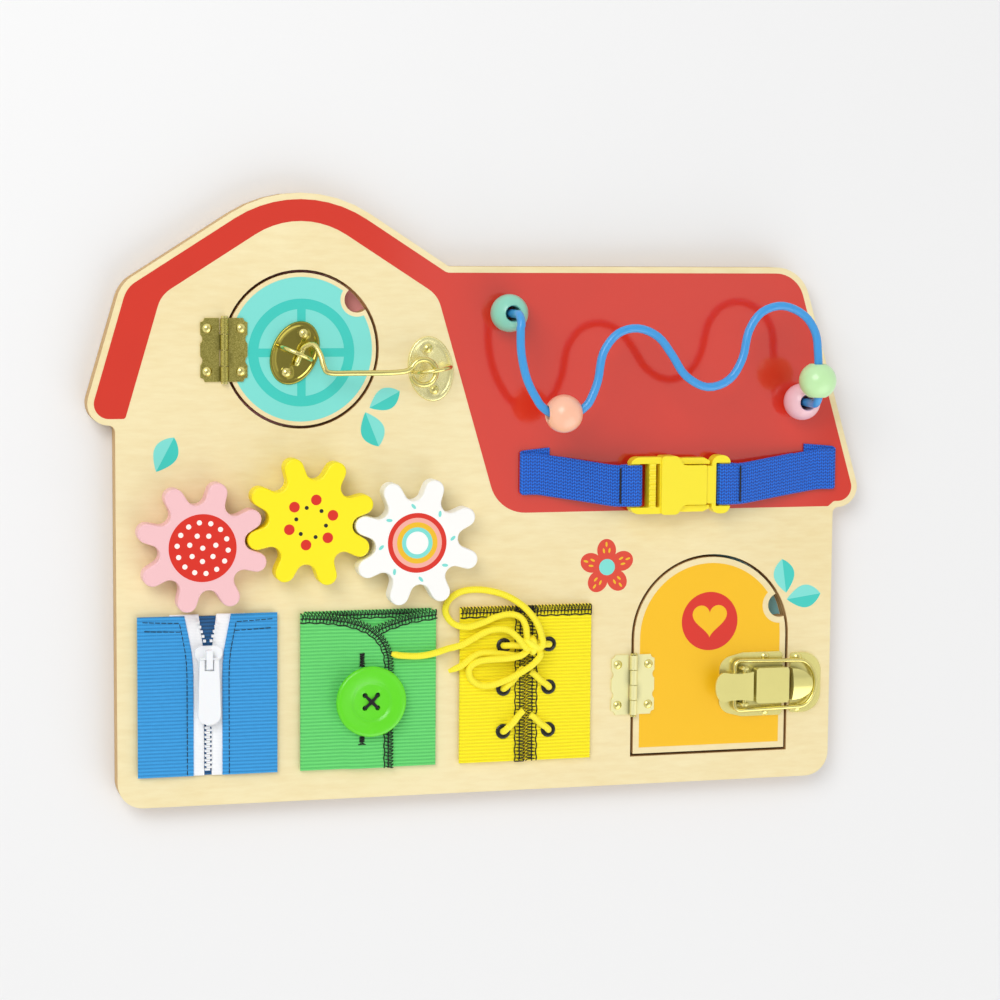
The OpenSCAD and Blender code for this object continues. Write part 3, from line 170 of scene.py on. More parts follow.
def line(name, routes, thickness, sides, cyclic=False):
    # round strands along routes given in millimetres
    curve = bpy.data.curves.new(name, "CURVE")
    curve.dimensions = "3D"
    curve.bevel_depth = thickness / 2 * mm
    curve.bevel_resolution = max(0, sides // 2 - 2)
    curve.use_fill_caps = True
    for route in routes:
        spline = curve.splines.new("POLY")
        spline.points.add(len(route) - 1)
        for point, p in zip(spline.points, route):
            point.co = (p[0] * mm, p[1] * mm, p[2] * mm, 1)
        spline.use_cyclic_u = cyclic
    return linked(name, curve)


def meshed(piece, merge=1e-7):
    # a curve turned into a mesh
    pick(piece)
    bpy.ops.object.convert(target="MESH")
    return facedOut(bpy.context.object, merge)


def smoothRoute(points, steps):
    # an even curve through every point
    last = len(points) - 1
    route = []
    for i in range(last):
        before, start = points[max(i - 1, 0)], points[i]
        end, after = points[i + 1], points[min(i + 2, last)]
        for s in range(steps):
            t = s / steps
            spot = []
            for a, b, c, d in zip(before, start, end, after):
                straight = 2 * b + (c - a) * t
                bend = (2 * a - 5 * b + 4 * c - d) * t * t
                twist = (3 * b - a - 3 * c + d) * t ** 3
                spot.append(0.5 * (straight + bend + twist))
            route.append(spot)
    route.append(list(points[-1]))
    return route


def routeLength(route):
    return sum(math.dist(a, b) for a, b in zip(route, route[1:])) * mm


def marksAlong(points):
    # how far along the line each point lies
    marks = [0.0]
    for a, b in zip(points, points[1:]):
        marks.append(marks[-1] + (b - a).length)
    return marks


def spotAlong(points, marks, distance):
    # the point at this distance, and the way the line runs there
    index = 0
    while index < len(marks) - 2 and marks[index + 1] < distance:
        index += 1
    a, b = points[index], points[index + 1]
    share = (distance - marks[index]) / max(marks[index + 1] - marks[index], 1e-9)
    return a.lerp(b, min(1.0, share)), (b - a).normalized()


def around(r, angle):
    # the spot at this radius and angle in degrees
    return r * math.cos(math.radians(angle)), r * math.sin(math.radians(angle))


def circle(x, y, r, steps, squeeze=1.0, turn=0.0):
    c, s = around(1.0, turn)
    ring = []
    for k in range(steps):
        a = 2 * math.pi * k / steps
        u, v = r * math.cos(a), r * squeeze * math.sin(a)
        ring.append((x + u * c - v * s, y + u * s + v * c))
    return ring


def rounded(corners):
    # each corner is x, y and its radius
    ring = []
    n = len(corners)
    for i, (x, y, r) in enumerate(corners):
        p = Vector((x, y))
        u = (Vector(corners[i - 1][:2]) - p).normalized()
        w = (Vector(corners[(i + 1) % n][:2]) - p).normalized()
        half = math.acos(max(-1, min(1, u.dot(w)))) / 2
        mid = p + (u + w).normalized() * r / math.sin(half)
        a0 = math.atan2(*(p + u * r / math.tan(half) - mid).yx)
        a1 = math.atan2(*(p + w * r / math.tan(half) - mid).yx)
        sweep = (a1 - a0 + math.pi * 3) % (2 * math.pi) - math.pi
        steps = max(2, math.ceil(abs(math.degrees(sweep)) / 7))
        for k in range(steps + 1):
            a = a0 + sweep * k / steps
            ring.append((mid.x + r * math.cos(a), mid.y + r * math.sin(a)))
    return ring


# small helpers for materials

def shaderOf(name):
    material = bpy.data.materials.new(name)
    material.use_nodes = True
    tree = material.node_tree
    return material, tree, tree.nodes["Principled BSDF"]


def put(tree, socket, value):
    # another node's output is linked, a plain value is set
    if isinstance(value, bpy.types.NodeSocket):
        tree.links.new(value, socket)
    else:
        socket.default_value = value


def putAll(tree, made, values):
    for label, value in values.items():
        put(tree, made.inputs[label], value)


def node(tree, kind, **values):
    # a value goes to the socket of that name, or else to the node's own setting
    made = tree.nodes.new(kind)
    for key, value in values.items():
        if key in made.inputs:
            put(tree, made.inputs[key], value)
        else:
            setattr(made, key, value)
    return made


def sums(tree, operation, *values, kind="ShaderNodeMath", out="Value"):
    made = node(tree, kind, operation=operation)
    for socket, value in zip(made.inputs, values):
        put(tree, socket, value)
    return made.outputs[out]


def vectorSums(tree, operation, *values, out="Vector"):
    return sums(tree, operation, *values, kind="ShaderNodeVectorMath", out=out)


def remap(tree, value, low=0.0, high=1.0, toLow=0.0, toHigh=1.0, kind="LINEAR"):
    made = node(tree, "ShaderNodeMapRange", interpolation_type=kind)
    putAll(tree, made, {"Value": value, "From Min": low, "From Max": high, "To Min": toLow, "To Max": toHigh})
    return made.outputs["Result"]


def blended(tree, share, first, second, kind="MIX"):
    # the color sockets have the same labels as the plain ones, so they go by number
    made = node(tree, "ShaderNodeMix", data_type="RGBA", blend_type=kind, Factor=share)
    put(tree, made.inputs[6], first)
    put(tree, made.inputs[7], second)
    return made.outputs[2]


def noise(tree, vector, scale, detail=2.0, roughness=0.5):
    made = node(tree, "ShaderNodeTexNoise", Vector=vector, Scale=scale, Detail=detail, Roughness=roughness)
    return made.outputs


def bumped(tree, height, strength, distance):
    return node(tree, "ShaderNodeBump", Height=height, Strength=strength, Distance=distance).outputs["Normal"]


def seenMask(tree):
    # one for what the camera and the glossy pieces see, nought for the light
    rays = node(tree, "ShaderNodeLightPath").outputs
    return sums(tree, "MAXIMUM", rays["Is Camera Ray"], rays["Is Glossy Ray"])


# camera, floor and light; places in metres, the camera's in millimetres

cameraSettings = {
    "place": (-324.55, 132.45, 1238.42), "turn": (-6.1546, -15.0507, 0.4662), "lens": 95.85, "sensor": 36,
    "nearest": 0.05,
}


def makeCamera():
    values = cameraSettings
    bpy.ops.object.camera_add(location=[v * mm for v in values["place"]],
                              rotation=[math.radians(a) for a in values["turn"]])
    camera = bpy.context.object
    camera.data.lens = values["lens"]
    camera.data.sensor_width = values["sensor"]
    camera.data.clip_start = values["nearest"]
    bpy.context.scene.camera = camera


floorSettings = {"size": 8, "drop": 0.0002, "tone": 0.86, "roughness": 0.8, "grain": 30, "bump": 0.02,
                 "fadeFrom": 0.7, "fadeTo": 1.9}


def makeFloor():
    values = floorSettings
    deselectAll()
    bpy.ops.mesh.primitive_plane_add(size=values["size"], location=(0, 0, -values["drop"]))
    floor = bpy.context.object
    floor.name = "floor"
    material, tree, shader = shaderOf("paleFloor")
    grain = node(tree, "ShaderNodeTexNoise", Scale=values["grain"]).outputs["Fac"]
    bump = node(tree, "ShaderNodeBump", Strength=values["bump"], Height=grain).outputs["Normal"]
    putAll(tree, shader, {"Base Color": (values["tone"],) * 3 + (1,), "Roughness": values["roughness"],
                          "Normal": bump})
    # well past the board the floor runs out into the white backdrop
    place = node(tree, "ShaderNodeTexCoord").outputs["Object"]
    reach = vectorSums(tree, "LENGTH", place, out="Value")
    far = remap(tree, reach, values["fadeFrom"], values["fadeTo"], kind="SMOOTHSTEP")
    mixed = node(tree, "ShaderNodeMixShader", Fac=sums(tree, "MULTIPLY", far, seenMask(tree)))
    put(tree, mixed.inputs[1], shader.outputs["BSDF"])
    put(tree, mixed.inputs[2], node(tree, "ShaderNodeEmission").outputs["Emission"])
    put(tree, tree.nodes["Material Output"].inputs["Surface"], mixed.outputs["Shader"])
    floor.data.materials.append(material)


lightSettings = {
    "key": {"place": (-0.9, 0.9, 1.5), "size": 1.1, "long": 1.1, "watts": 17.5, "target": (0, 0, 0)},
    "fill": {"place": (0.9, -1.6, 1.2), "size": 2.2, "long": 2.2, "watts": 20, "target": (0, 0, 0)},
    "window": {"place": (0.535, -0.13, 1.5), "size": 0.47, "long": 0.76, "watts": 0.52,
               "target": (0.535, -0.13, 0)},
}
skySettings = {"level": 0.64, "zenith": 0.7, "fadeFrom": 0.45, "fadeTo": 0.97}


def makeLights():
    for name, values in lightSettings.items():
        bpy.ops.object.light_add(type="AREA", location=values["place"])
        lamp = bpy.context.object
        lamp.name = name
        lamp.data.shape = "RECTANGLE"
        lamp.data.size = values["size"]
        lamp.data.size_y = values["long"]
        lamp.data.energy = values["watts"]
        aim = Vector(values["target"]) - Vector(values["place"])
        lamp.rotation_euler = aim.to_track_quat("-Z", "Y").to_euler()


def makeSky():
    # seen, the horizon is white; as a light it keeps its plain level
    values = skySettings
    world = bpy.data.worlds.new("studio")
    bpy.context.scene.world = world
    world.use_nodes = True
    tree = world.node_tree
    coords = node(tree, "ShaderNodeTexCoord").outputs["Generated"]
    up = node(tree, "ShaderNodeSeparateXYZ", Vector=coords).outputs["Z"]
    horizon = sums(tree, "MULTIPLY_ADD", seenMask(tree), 1 - values["level"], values["level"])
    zenith = values["level"] * values["zenith"]
    strength = remap(tree, up, values["fadeFrom"], values["fadeTo"], horizon, zenith)
    putAll(tree, tree.nodes["Background"], {"Color": (1, 1, 1, 1), "Strength": strength})


makeCamera()
makeFloor()
makeLights()
makeSky()
bpy.context.scene.view_settings.view_transform = "Standard"
print("camera, floor and light are set")


# shared shader groups

def newGroup(name, **given):
    # a vector comes in, and colors and numbers with these values to start from
    group = bpy.data.node_groups.new(name, "ShaderNodeTree")
    group.interface.new_socket(name="Vector", in_out="INPUT", socket_type="NodeSocketVector")
    for label, value in given.items():
        kind = "NodeSocketColor" if isinstance(value, tuple) else "NodeSocketFloat"
        socket = group.interface.new_socket(name=label, in_out="INPUT", socket_type=kind)
        socket.default_value = value
    return group, group.nodes.new("NodeGroupInput").outputs


def putOut(group, **found):
    for label in found:
        kind = "NodeSocketColor" if label == "Color" else "NodeSocketFloat"
        group.interface.new_socket(name=label, in_out="OUTPUT", socket_type=kind)
    putAll(group, group.nodes.new("NodeGroupOutput"), found)
    return group


grainSettings = {"across": 6.0, "fibre": 14.0, "drift": 9.0, "fibreShare": 0.55, "driftShare": 0.5,
                 "darkFrom": 0.42, "darkTo": 0.92}


def makeGrainGroup():
    # long fibres along X with a slow drift of tone
    values = grainSettings
    group, given = newGroup("woodGrain", Light=(0.86, 0.70, 0.43, 1), Dark=(0.74, 0.55, 0.30, 1),
                            Stretch=26.0)
    scale = node(group, "ShaderNodeCombineXYZ", X=values["across"], Y=given["Stretch"], Z=given["Stretch"])
    stretched = vectorSums(group, "MULTIPLY", given["Vector"], scale.outputs["Vector"])
    fibre = noise(group, stretched, values["fibre"], 6.0, 0.6)["Fac"]
    slow = noise(group, given["Vector"], values["drift"])["Fac"]
    drift = sums(group, "MULTIPLY", slow, values["driftShare"])
    tone = sums(group, "MULTIPLY_ADD", fibre, values["fibreShare"], drift)
    dark = remap(group, tone, values["darkFrom"], values["darkTo"])
    return putOut(group, Color=blended(group, dark, given["Light"], given["Dark"]), Height=fibre)


speckSettings = {"slow": 45.0, "shade": (0.55, 0.55, 0.55, 1)}


def makeSpeckGroup():
    # fine moulding or paint texture and a faint uneven tone
    values = speckSettings
    group, given = newGroup("surfaceSpeck", Color=(1, 1, 1, 1), Scale=900.0, Depth=0.06)
    fine = noise(group, given["Vector"], given["Scale"], 4.0)["Fac"]
    slow = noise(group, given["Vector"], values["slow"], 3.0)["Fac"]
    shade = sums(group, "MULTIPLY", slow, given["Depth"])
    color = blended(group, shade, given["Color"], values["shade"], "MULTIPLY")
    return putOut(group, Color=color, Height=fine, Mask=slow)


ribSettings = {"drift": 38.0, "driftReach": 0.0003, "loopPhase": 7400.0, "loopShare": 0.16, "lowest": -1.0,
               "highest": 0.5, "fuzz": 1500.0, "fuzzShare": 0.35}


def makeRibGroup():
    # knitted ribs that run along X, with loops along each rib; the pitch is in ribs to the metre
    values = ribSettings
    group, given = newGroup("ribKnit", Color=(1, 1, 1, 1), Valley=(0.4, 0.4, 0.4, 1), Pitch=590.0)
    drift = noise(group, given["Vector"], values["drift"])["Color"]
    warped = vectorSums(group, "MULTIPLY_ADD", drift, (0.0, values["driftReach"], 0.0), given["Vector"])
    split = node(group, "ShaderNodeSeparateXYZ", Vector=warped).outputs
    turns = sums(group, "MULTIPLY", given["Pitch"], 2 * math.pi)
    rows = sums(group, "SINE", sums(group, "MULTIPLY", split["Y"], turns))
    loops = sums(group, "SINE", sums(group, "MULTIPLY", split["X"], values["loopPhase"]))
    both = sums(group, "MULTIPLY_ADD", loops, values["loopShare"], rows)
    level = remap(group, both, values["lowest"], values["highest"])
    fuzz = noise(group, given["Vector"], values["fuzz"], 3.0)["Fac"]
    height = sums(group, "MULTIPLY_ADD", fuzz, values["fuzzShare"], level)
    # the valley colour is painted shade in the grooves between the ribs
    return putOut(group, Color=blended(group, level, given["Valley"], given["Color"]), Height=height)


weaveSettings = {"columnDepth": -0.9, "lowest": -1.1, "highest": 1.0}


def makeWeaveGroup():
    # columns of small slanted stitches on the piece's own map, in millimetres
    values = weaveSettings
    group, given = newGroup("webbingWeave", Color=(1, 1, 1, 1), Valley=(0.1, 0.1, 0.1, 1),
                            Across=1.9, Along=1.5, Slant=0.5)
    split = node(group, "ShaderNodeSeparateXYZ", Vector=given["Vector"]).outputs
    column = sums(group, "DIVIDE", split["X"], given["Across"])
    lean = sums(group, "MULTIPLY", sums(group, "PINGPONG", column, 0.5), given["Slant"])
    row = sums(group, "ADD", sums(group, "DIVIDE", split["Y"], given["Along"]), lean)
    rowWave = sums(group, "COSINE", sums(group, "MULTIPLY", row, 2 * math.pi))
    columnWave = sums(group, "COSINE", sums(group, "MULTIPLY", column, 4 * math.pi))
    total = sums(group, "ADD", sums(group, "MULTIPLY", columnWave, values["columnDepth"]), rowWave)
    level = remap(group, total, values["lowest"], values["highest"])
    # the valley colour is painted shade in the grooves between stitches and between columns
    return putOut(group, Color=blended(group, level, given["Valley"], given["Color"]), Height=level)


grainGroup = makeGrainGroup()
speckGroup = makeSpeckGroup()
ribGroup = makeRibGroup()
weaveGroup = makeWeaveGroup()


def linear(hexColor):
    values = [int(hexColor[i:i + 2], 16) / 255 for i in (1, 3, 5)]
    return tuple(v / 12.92 if v <= 0.04045 else ((v + 0.055) / 1.055) ** 2.4 for v in values) + (1,)


def useGroup(tree, group, source, **values):
    made = tree.nodes.new("ShaderNodeGroup")
    made.node_tree = group
    put(tree, made.inputs["Vector"], node(tree, "ShaderNodeTexCoord").outputs[source])
    putAll(tree, made, values)
    return made.outputs


def bareWood(name, light, dark, roughness=0.5, stretch=26.0):
    material, tree, shader = shaderOf(name)
    grain = useGroup(tree, grainGroup, "Object", Light=linear(light), Dark=linear(dark), Stretch=stretch)
    putAll(tree, shader, {"Base Color": grain["Color"], "Roughness": roughness,
                          "Normal": bumped(tree, grain["Height"], 0.12, 0.0003)})
    return material


plySettings = {"pitch": 0.003, "sharpness": 0.25, "strength": 0.45, "glueLine": "#B98A5A", "stretch": 10.0,
               "roughness": 0.7}


def plyEdge(name, light, dark):
    # thin veneers stacked along Z
    values = plySettings
    material, tree, shader = shaderOf(name)
    grain = useGroup(tree, grainGroup, "Object", Light=linear(light), Dark=linear(dark),
                     Stretch=values["stretch"])
    coords = node(tree, "ShaderNodeTexCoord").outputs["Object"]
    up = node(tree, "ShaderNodeSeparateXYZ", Vector=coords).outputs["Z"]
    wave = sums(tree, "SINE", sums(tree, "MULTIPLY", up, 2 * math.pi / values["pitch"]))
    glue = remap(tree, wave, -values["sharpness"], values["sharpness"], toHigh=values["strength"])
    color = blended(tree, glue, grain["Color"], linear(values["glueLine"]), "MULTIPLY")
    putAll(tree, shader, {"Base Color": color, "Roughness": values["roughness"],
                          "Normal": bumped(tree, grain["Height"], 0.2, 0.0003)})
    return material


def paint(name, color, roughness=0.35, depth=0.05, coat=0.0, bump=0.03, grainy=True):
    # depth is how uneven the tone is; a grainy paint shows the wood's fibres
    material, tree, shader = shaderOf(name)
    speck = useGroup(tree, speckGroup, "Object", Color=linear(color), Scale=700.0, Depth=depth)
    height = speck["Height"]
    if grainy:
        height = useGroup(tree, grainGroup, "Object", Stretch=26.0)["Height"]
    putAll(tree, shader, {"Base Color": speck["Color"], "Roughness": roughness, "Coat Weight": coat,
                          "Coat Roughness": 0.08, "Normal": bumped(tree, height, bump, 0.0003)})
    return material


metalSettings = {"wornFrom": 0.3, "wornTo": 0.7, "smoothest": 0.7, "roughest": 1.7, "creviceShade": 0.0035,
                 "samples": 12}


def metal(name, color, roughness=0.18, scratch=0.25, polish=1.0, worn=None, scale=420.0):
    values = metalSettings
    material, tree, shader = shaderOf(name)
    speck = useGroup(tree, speckGroup, "Object", Color=linear(color), Scale=scale, Depth=scratch)
    surface = speck["Color"]
    if worn:
        # small dull patches in the plating
        patches = remap(tree, speck["Height"], values["wornFrom"], values["wornTo"])
        surface = blended(tree, patches, linear(worn), linear(color))
    # painted shade: ambient occlusion darkens the base colour in the crevices between stamped parts
    creviceShade = node(tree, "ShaderNodeAmbientOcclusion", samples=values["samples"], only_local=True,
                   Color=surface, Distance=values["creviceShade"])
    smooth, rough = roughness * values["smoothest"], roughness * values["roughest"]
    level = remap(tree, speck["Mask"], toLow=smooth, toHigh=rough)
    putAll(tree, shader, {"Base Color": creviceShade.outputs["Color"], "Roughness": level, "Metallic": polish,
                          "Normal": bumped(tree, speck["Height"], 0.05, 0.0002)})
    return material


def knit(name, color, valleyShade):
    material, tree, shader = shaderOf(name)
    rib = useGroup(tree, ribGroup, "Object", Color=linear(color), Valley=linear(valleyShade), Pitch=590.0)
    putAll(tree, shader, {"Base Color": rib["Color"], "Roughness": 0.85, "Sheen Weight": 0.25,
                          "Normal": bumped(tree, rib["Height"], 0.35, 0.0005)})
    return material


def woven(name, color, valleyShade, across, along, slant, strength=0.8):
    material, tree, shader = shaderOf(name)
    weave = useGroup(tree, weaveGroup, "UV", Color=linear(color), Valley=linear(valleyShade),
                     Across=across, Along=along, Slant=slant)
    putAll(tree, shader, {"Base Color": weave["Color"], "Roughness": 0.65, "Sheen Weight": 0.05,
                          "Normal": bumped(tree, weave["Height"], strength, 0.0004)})
    return material


def plastic(name, color, roughness=0.28):
    material, tree, shader = shaderOf(name)
    speck = useGroup(tree, speckGroup, "Object", Color=linear(color), Scale=900.0, Depth=0.04)
    putAll(tree, shader, {"Base Color": speck["Color"], "Roughness": roughness, "Subsurface Weight": 0.08,
                          "Subsurface Radius": (0.002, 0.0015, 0.001),
                          "Normal": bumped(tree, speck["Height"], 0.04, 0.0002)})
    return material


def beadPaint(name, color):
    return paint(name, color, roughness=0.28, depth=0.04, coat=0.3, bump=0.02, grainy=False)


birchFace = bareWood("birchFace", "#F5E6B6", "#E8D094", roughness=0.42)
backFace = bareWood("backFace", "#E2CB98", "#CBAA70", roughness=0.6)
dowelWood = bareWood("dowelWood", "#E8D2A0", "#D2B074", roughness=0.6, stretch=12.0)
birchEdge = plyEdge("birchEdge", "#DDBE86", "#C39A5E")

redPaint = paint("redPaint", "#D8301A", roughness=0.12, depth=0.12, coat=0.6, bump=0.05)
tealPaint = paint("tealPaint", "#7FE1D6", roughness=0.3, depth=0.06, coat=0.2)
deepTealPaint = paint("deepTealPaint", "#3CCDC0", roughness=0.3, depth=0.06, coat=0.2)
doorYellowPaint = paint("doorYellowPaint", "#FAC208", roughness=0.45, depth=0.08)
signalRedPaint = paint("signalRedPaint", "#DC2814", roughness=0.32, depth=0.04, coat=0.1)
coralPaint = paint("coralPaint", "#E0442E", coat=0.1)
creamPaint = paint("creamPaint", "#FFF3EC", roughness=0.4, depth=0.03)
blushPaint = paint("blushPaint", "#F6AFA0", roughness=0.4, depth=0.03)
ochrePaint = paint("ochrePaint", "#F2BE1E", roughness=0.4, depth=0.03)
mauvePly = paint("mauvePly", "#F0A6A8", roughness=0.6, depth=0.2)
grayTealPaint = paint("grayTealPaint", "#8CCFD8", roughness=0.6, depth=0.2)
gearPinkPaint = paint("gearPinkPaint", "#F5C3C6", roughness=0.42)
gearYellowPaint = paint("gearYellowPaint", "#FFEC00", roughness=0.42, depth=0.04)
gearWhitePaint = paint("gearWhitePaint", "#FAF9F5", roughness=0.42, depth=0.03)
blackPaint = paint("blackPaint", "#101010", roughness=0.5, depth=0.03, bump=0.02, grainy=False)
blackThread = paint("blackThread", "#141414", roughness=0.8, depth=0.1, bump=0.1, grainy=False)
mintPaint = beadPaint("mintBead", "#8AD4BC")
peachPaint = beadPaint("peachBead", "#FFC0A0")
limePaint = beadPaint("limeBead", "#C4F0B0")
rosePaint = beadPaint("roseBead", "#F4C4CC")

brassMetal = metal("brassMetal", "#E2D688")
# painted shade: a darker copy of the brass, for the oval plate on the round door
shadedOvalBrass = metal("shadedOvalBrass", "#B6AA50", roughness=0.11, scratch=0.7)
# painted light: a paler copy of the brass, for the arched door's hinge leaves
litPaleBrass = metal("litPaleBrass", "#F6F0B4", roughness=0.4, scratch=0.3, polish=0.7)
latchBrass = metal("latchBrass", "#F4EA94", roughness=0.2, scratch=0.5, polish=0.72)
# painted shade: a darker copy of the brass, for the round door's hinge leaves; its dull patches are the
# leaves' mottled pattern
agedShadedBrass = metal("agedShadedBrass", "#D6CA72", roughness=0.24, scratch=0.8, worn="#8E8438", scale=2600.0)
# painted light: a paler copy of the brass, for the oval plate on the board
litPlateBrass = metal("litPlateBrass", "#FFF8BE", roughness=0.2, scratch=0.5, polish=0.74, worn="#E4DA94",
                   scale=2400.0)
steelMetal = metal("steelMetal", "#B9BCC0", roughness=0.3)

# each knit's and weave's second colour is painted shade for its grooves
blueKnit = knit("blueKnit", "#349FE2", "#2787C6")
greenKnit = knit("greenKnit", "#6ADB72", "#55C062")
yellowKnit = knit("yellowKnit", "#FFF000", "#F2DC00")
darkBlueKnit = knit("darkBlueKnit", "#1F5F96", "#16466F")
webbingBlue = woven("webbingBlue", "#0E74EC", "#053A98", across=2.2, along=1.55, slant=0.9)
laceBraid = woven("laceBraid", "#FFF53C", "#FFEA14", across=1.1, along=1.1, slant=1.0, strength=0.25)
tapeWeave = woven("tapeWeave", "#FFFFFF", "#F1F3F5", across=0.9, along=0.7, slant=0.0, strength=0.3)

wirePaint = plastic("wireCoat", "#3F9CE0", roughness=0.22)
zipPlastic = plastic("zipPlastic", "#F4F6F8", roughness=0.35)
bucklePlastic = plastic("bucklePlastic", "#FBE82A", roughness=0.3)
buttonPlastic = plastic("buttonPlastic", "#64DE1E", roughness=0.25)
blackEnamel = plastic("blackEnamel", "#161616", roughness=0.25)
print("materials are made")


# lace: two loops and two ends, each a free cord out of the knot

laceSettings = {"width": 3.2, "onBoard": 13.65, "onFlap": 16.25, "steps": 4, "sides": 12}


def laceRoutes():
    # listed from the knot outwards, in millimetres
    board, flap = laceSettings["onBoard"], laceSettings["onFlap"]
    return {
        "upperLoop": ([
            (21.5, -72.5, 20.5), (25, -71.5, 23), (25, -67.5, 22.4), (22.5, -60, 21), (17, -53, 18.6),
            (9.5, -48, 16.4), (1, -45.3, 14.6), (-7.5, -44.6, 13.8), (-14.5, -46, board), (-19.5, -50, board),
            (-20.6, -55.5, board), (-17.4, -60.4, 15.9), (-10.5, -62.2, flap), (-3, -60.4, flap),
            (4, -57.8, flap), (10.5, -56.6, 17), (15.5, -58.2, 18.4), (17.6, -62.5, 20), (18, -67.6, 21),
            (20.5, -70.8, 20)], "object"),
        "lowerLoop": ([
            (21.5, -72, 19.5), (24.6, -75.6, 21.4), (21.5, -80.5, 20.4), (15.5, -84.6, 19.6), (9, -88, 18.8),
            (2, -90.6, 17.4), (-4, -90.6, flap), (-8.6, -87.4, flap), (-9.4, -82.4, flap), (-5.4, -79, 17.4),
            (1, -77.9, 19.2), (8, -77.4, 20.6), (15, -76, 21.6), (20, -72.5, 20)], "object"),
        "upperEnd": ([
            (20.5, -72.5, 21), (16.6, -72, 23.6), (13.2, -67.5, 22.2), (9, -64, 19.6), (3.5, -63.6, 17.4),
            (-2, -65.2, flap), (-8, -68.2, flap), (-13.5, -70.9, flap), (-20, -72.6, 15.4),
            (-27, -74.4, flap + 0.1), (-34, -75.4, flap), (-41, -75, flap + 0.5), (-45, -74.4, flap + 1.4),
            (-48, -73.6, flap + 1.4)], "bare"),
        "lowerEnd": ([
            (20, -73, 18.6), (15.6, -76.6, 17.9), (9, -76, 17.3), (3.5, -75.4, 17.1), (-4, -75.2, flap),
            (-9.5, -78, flap), (-13.5, -81, 16.2), (-19.4, -83.6, 15)], "bare"),
    }


def tubeMesh(name, route, radius, sides):
    # a tube with its own map: X runs round it and Y along it, both in millimetres
    points = [Vector(p) for p in route]
    last = len(points) - 1
    tangents = [(points[min(i + 1, last)] - points[max(i - 1, 0)]).normalized() for i in range(last + 1)]
    aside = Vector((0, 0, 1)) if abs(tangents[0].z) < 0.8 else Vector((0, 1, 0))
    normal = tangents[0].cross(aside).normalized()
    radii = radius if isinstance(radius, list) else [radius] * len(points)
    verts, faces = [], []
    for point, tangent, r in zip(points, tangents, radii):
        normal = (normal - normal.dot(tangent) * tangent).normalized()
        side = tangent.cross(normal)
        for k in range(sides):
            a = 2 * math.pi * k / sides
            verts.append(point + r * (math.cos(a) * normal + math.sin(a) * side))
    for i in range(last):
        for k in range(sides):
            j = (k + 1) % sides
            faces.append((i * sides + k, i * sides + j, (i + 1) * sides + j, (i + 1) * sides + k))
    faces.append(tuple(range(sides - 1, -1, -1)))
    faces.append(tuple(last * sides + k for k in range(sides)))
    piece = solid(name, verts, faces)
    mapTube(piece.data, sides, 2 * math.pi * max(radii), marksAlong(points))
    return facedOut(piece)


def mapTube(mesh, sides, girth, marks):
    # where a face closes the circle, its last corners get the whole girth and not nought
    layer = mesh.uv_layers.new(name="map")
    for face in mesh.polygons:
        corners = [(mesh.loops[l].vertex_index, l) for l in face.loop_indices]
        columns = [v % sides for v, l in corners]
        wraps = len(corners) == 4 and max(columns) == sides - 1 and min(columns) == 0
        for v, l in corners:
            column = sides if wraps and v % sides == 0 else v % sides
            layer.data[l].uv = (girth * column / sides, marks[v // sides])


def makeLace():
    width = laceSettings["width"]
    for name, (points, farEnd) in laceRoutes().items():
        route = smoothRoute(points, laceSettings["steps"])
        radii = [width / 2] * len(route)
        if farEnd == "bare":  # the tip is pinched
            radii[-3:] = [width / 2 * share for share in (0.9, 0.72, 0.55)]
        piece = tubeMesh("lace_" + name, route, radii, laceSettings["sides"])
        finished(piece, "board", laceBraid, ("lace_loops",) if "Loop" in name else ("lace_ends",), 60)
        print(name, round(routeLength(route) * 1000), "mm of lace")


makeLace()


# pieces that keep the solid's shape and get soft edges

def softened(nodeName, body, material, width, sideMaterial=None):
    segments = 3 if width > 0.4 else 2
    piece = linked(nodeName + "_look", nodes[nodeName].data.copy())
    pick(piece)
    bpy.ops.object.mode_set(mode="EDIT")
    bpy.ops.mesh.select_all(action="SELECT")
    bpy.ops.mesh.remove_doubles(threshold=0.0005 * mm)
    bpy.ops.mesh.dissolve_limited(angle_limit=math.radians(0.6))
    bpy.ops.object.mode_set(mode="OBJECT")
    withModifier(piece, "BEVEL", width=width * mm, segments=segments, limit_method="ANGLE",
                 angle_limit=math.radians(30), use_clamp_overlap=True)
    dressed(piece, material)
    if sideMaterial is not None:
        piece.data.materials.append(sideMaterial)
        for face in piece.data.polygons:
            face.material_index = 0 if abs(face.normal.z) > 0.6 else 1
    placed(piece)
    smoothed(piece)
    withModifier(piece, "WEIGHTED_NORMAL", keep_sharp=True, weight=60)
    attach(piece, body)
    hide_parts(nodeName)


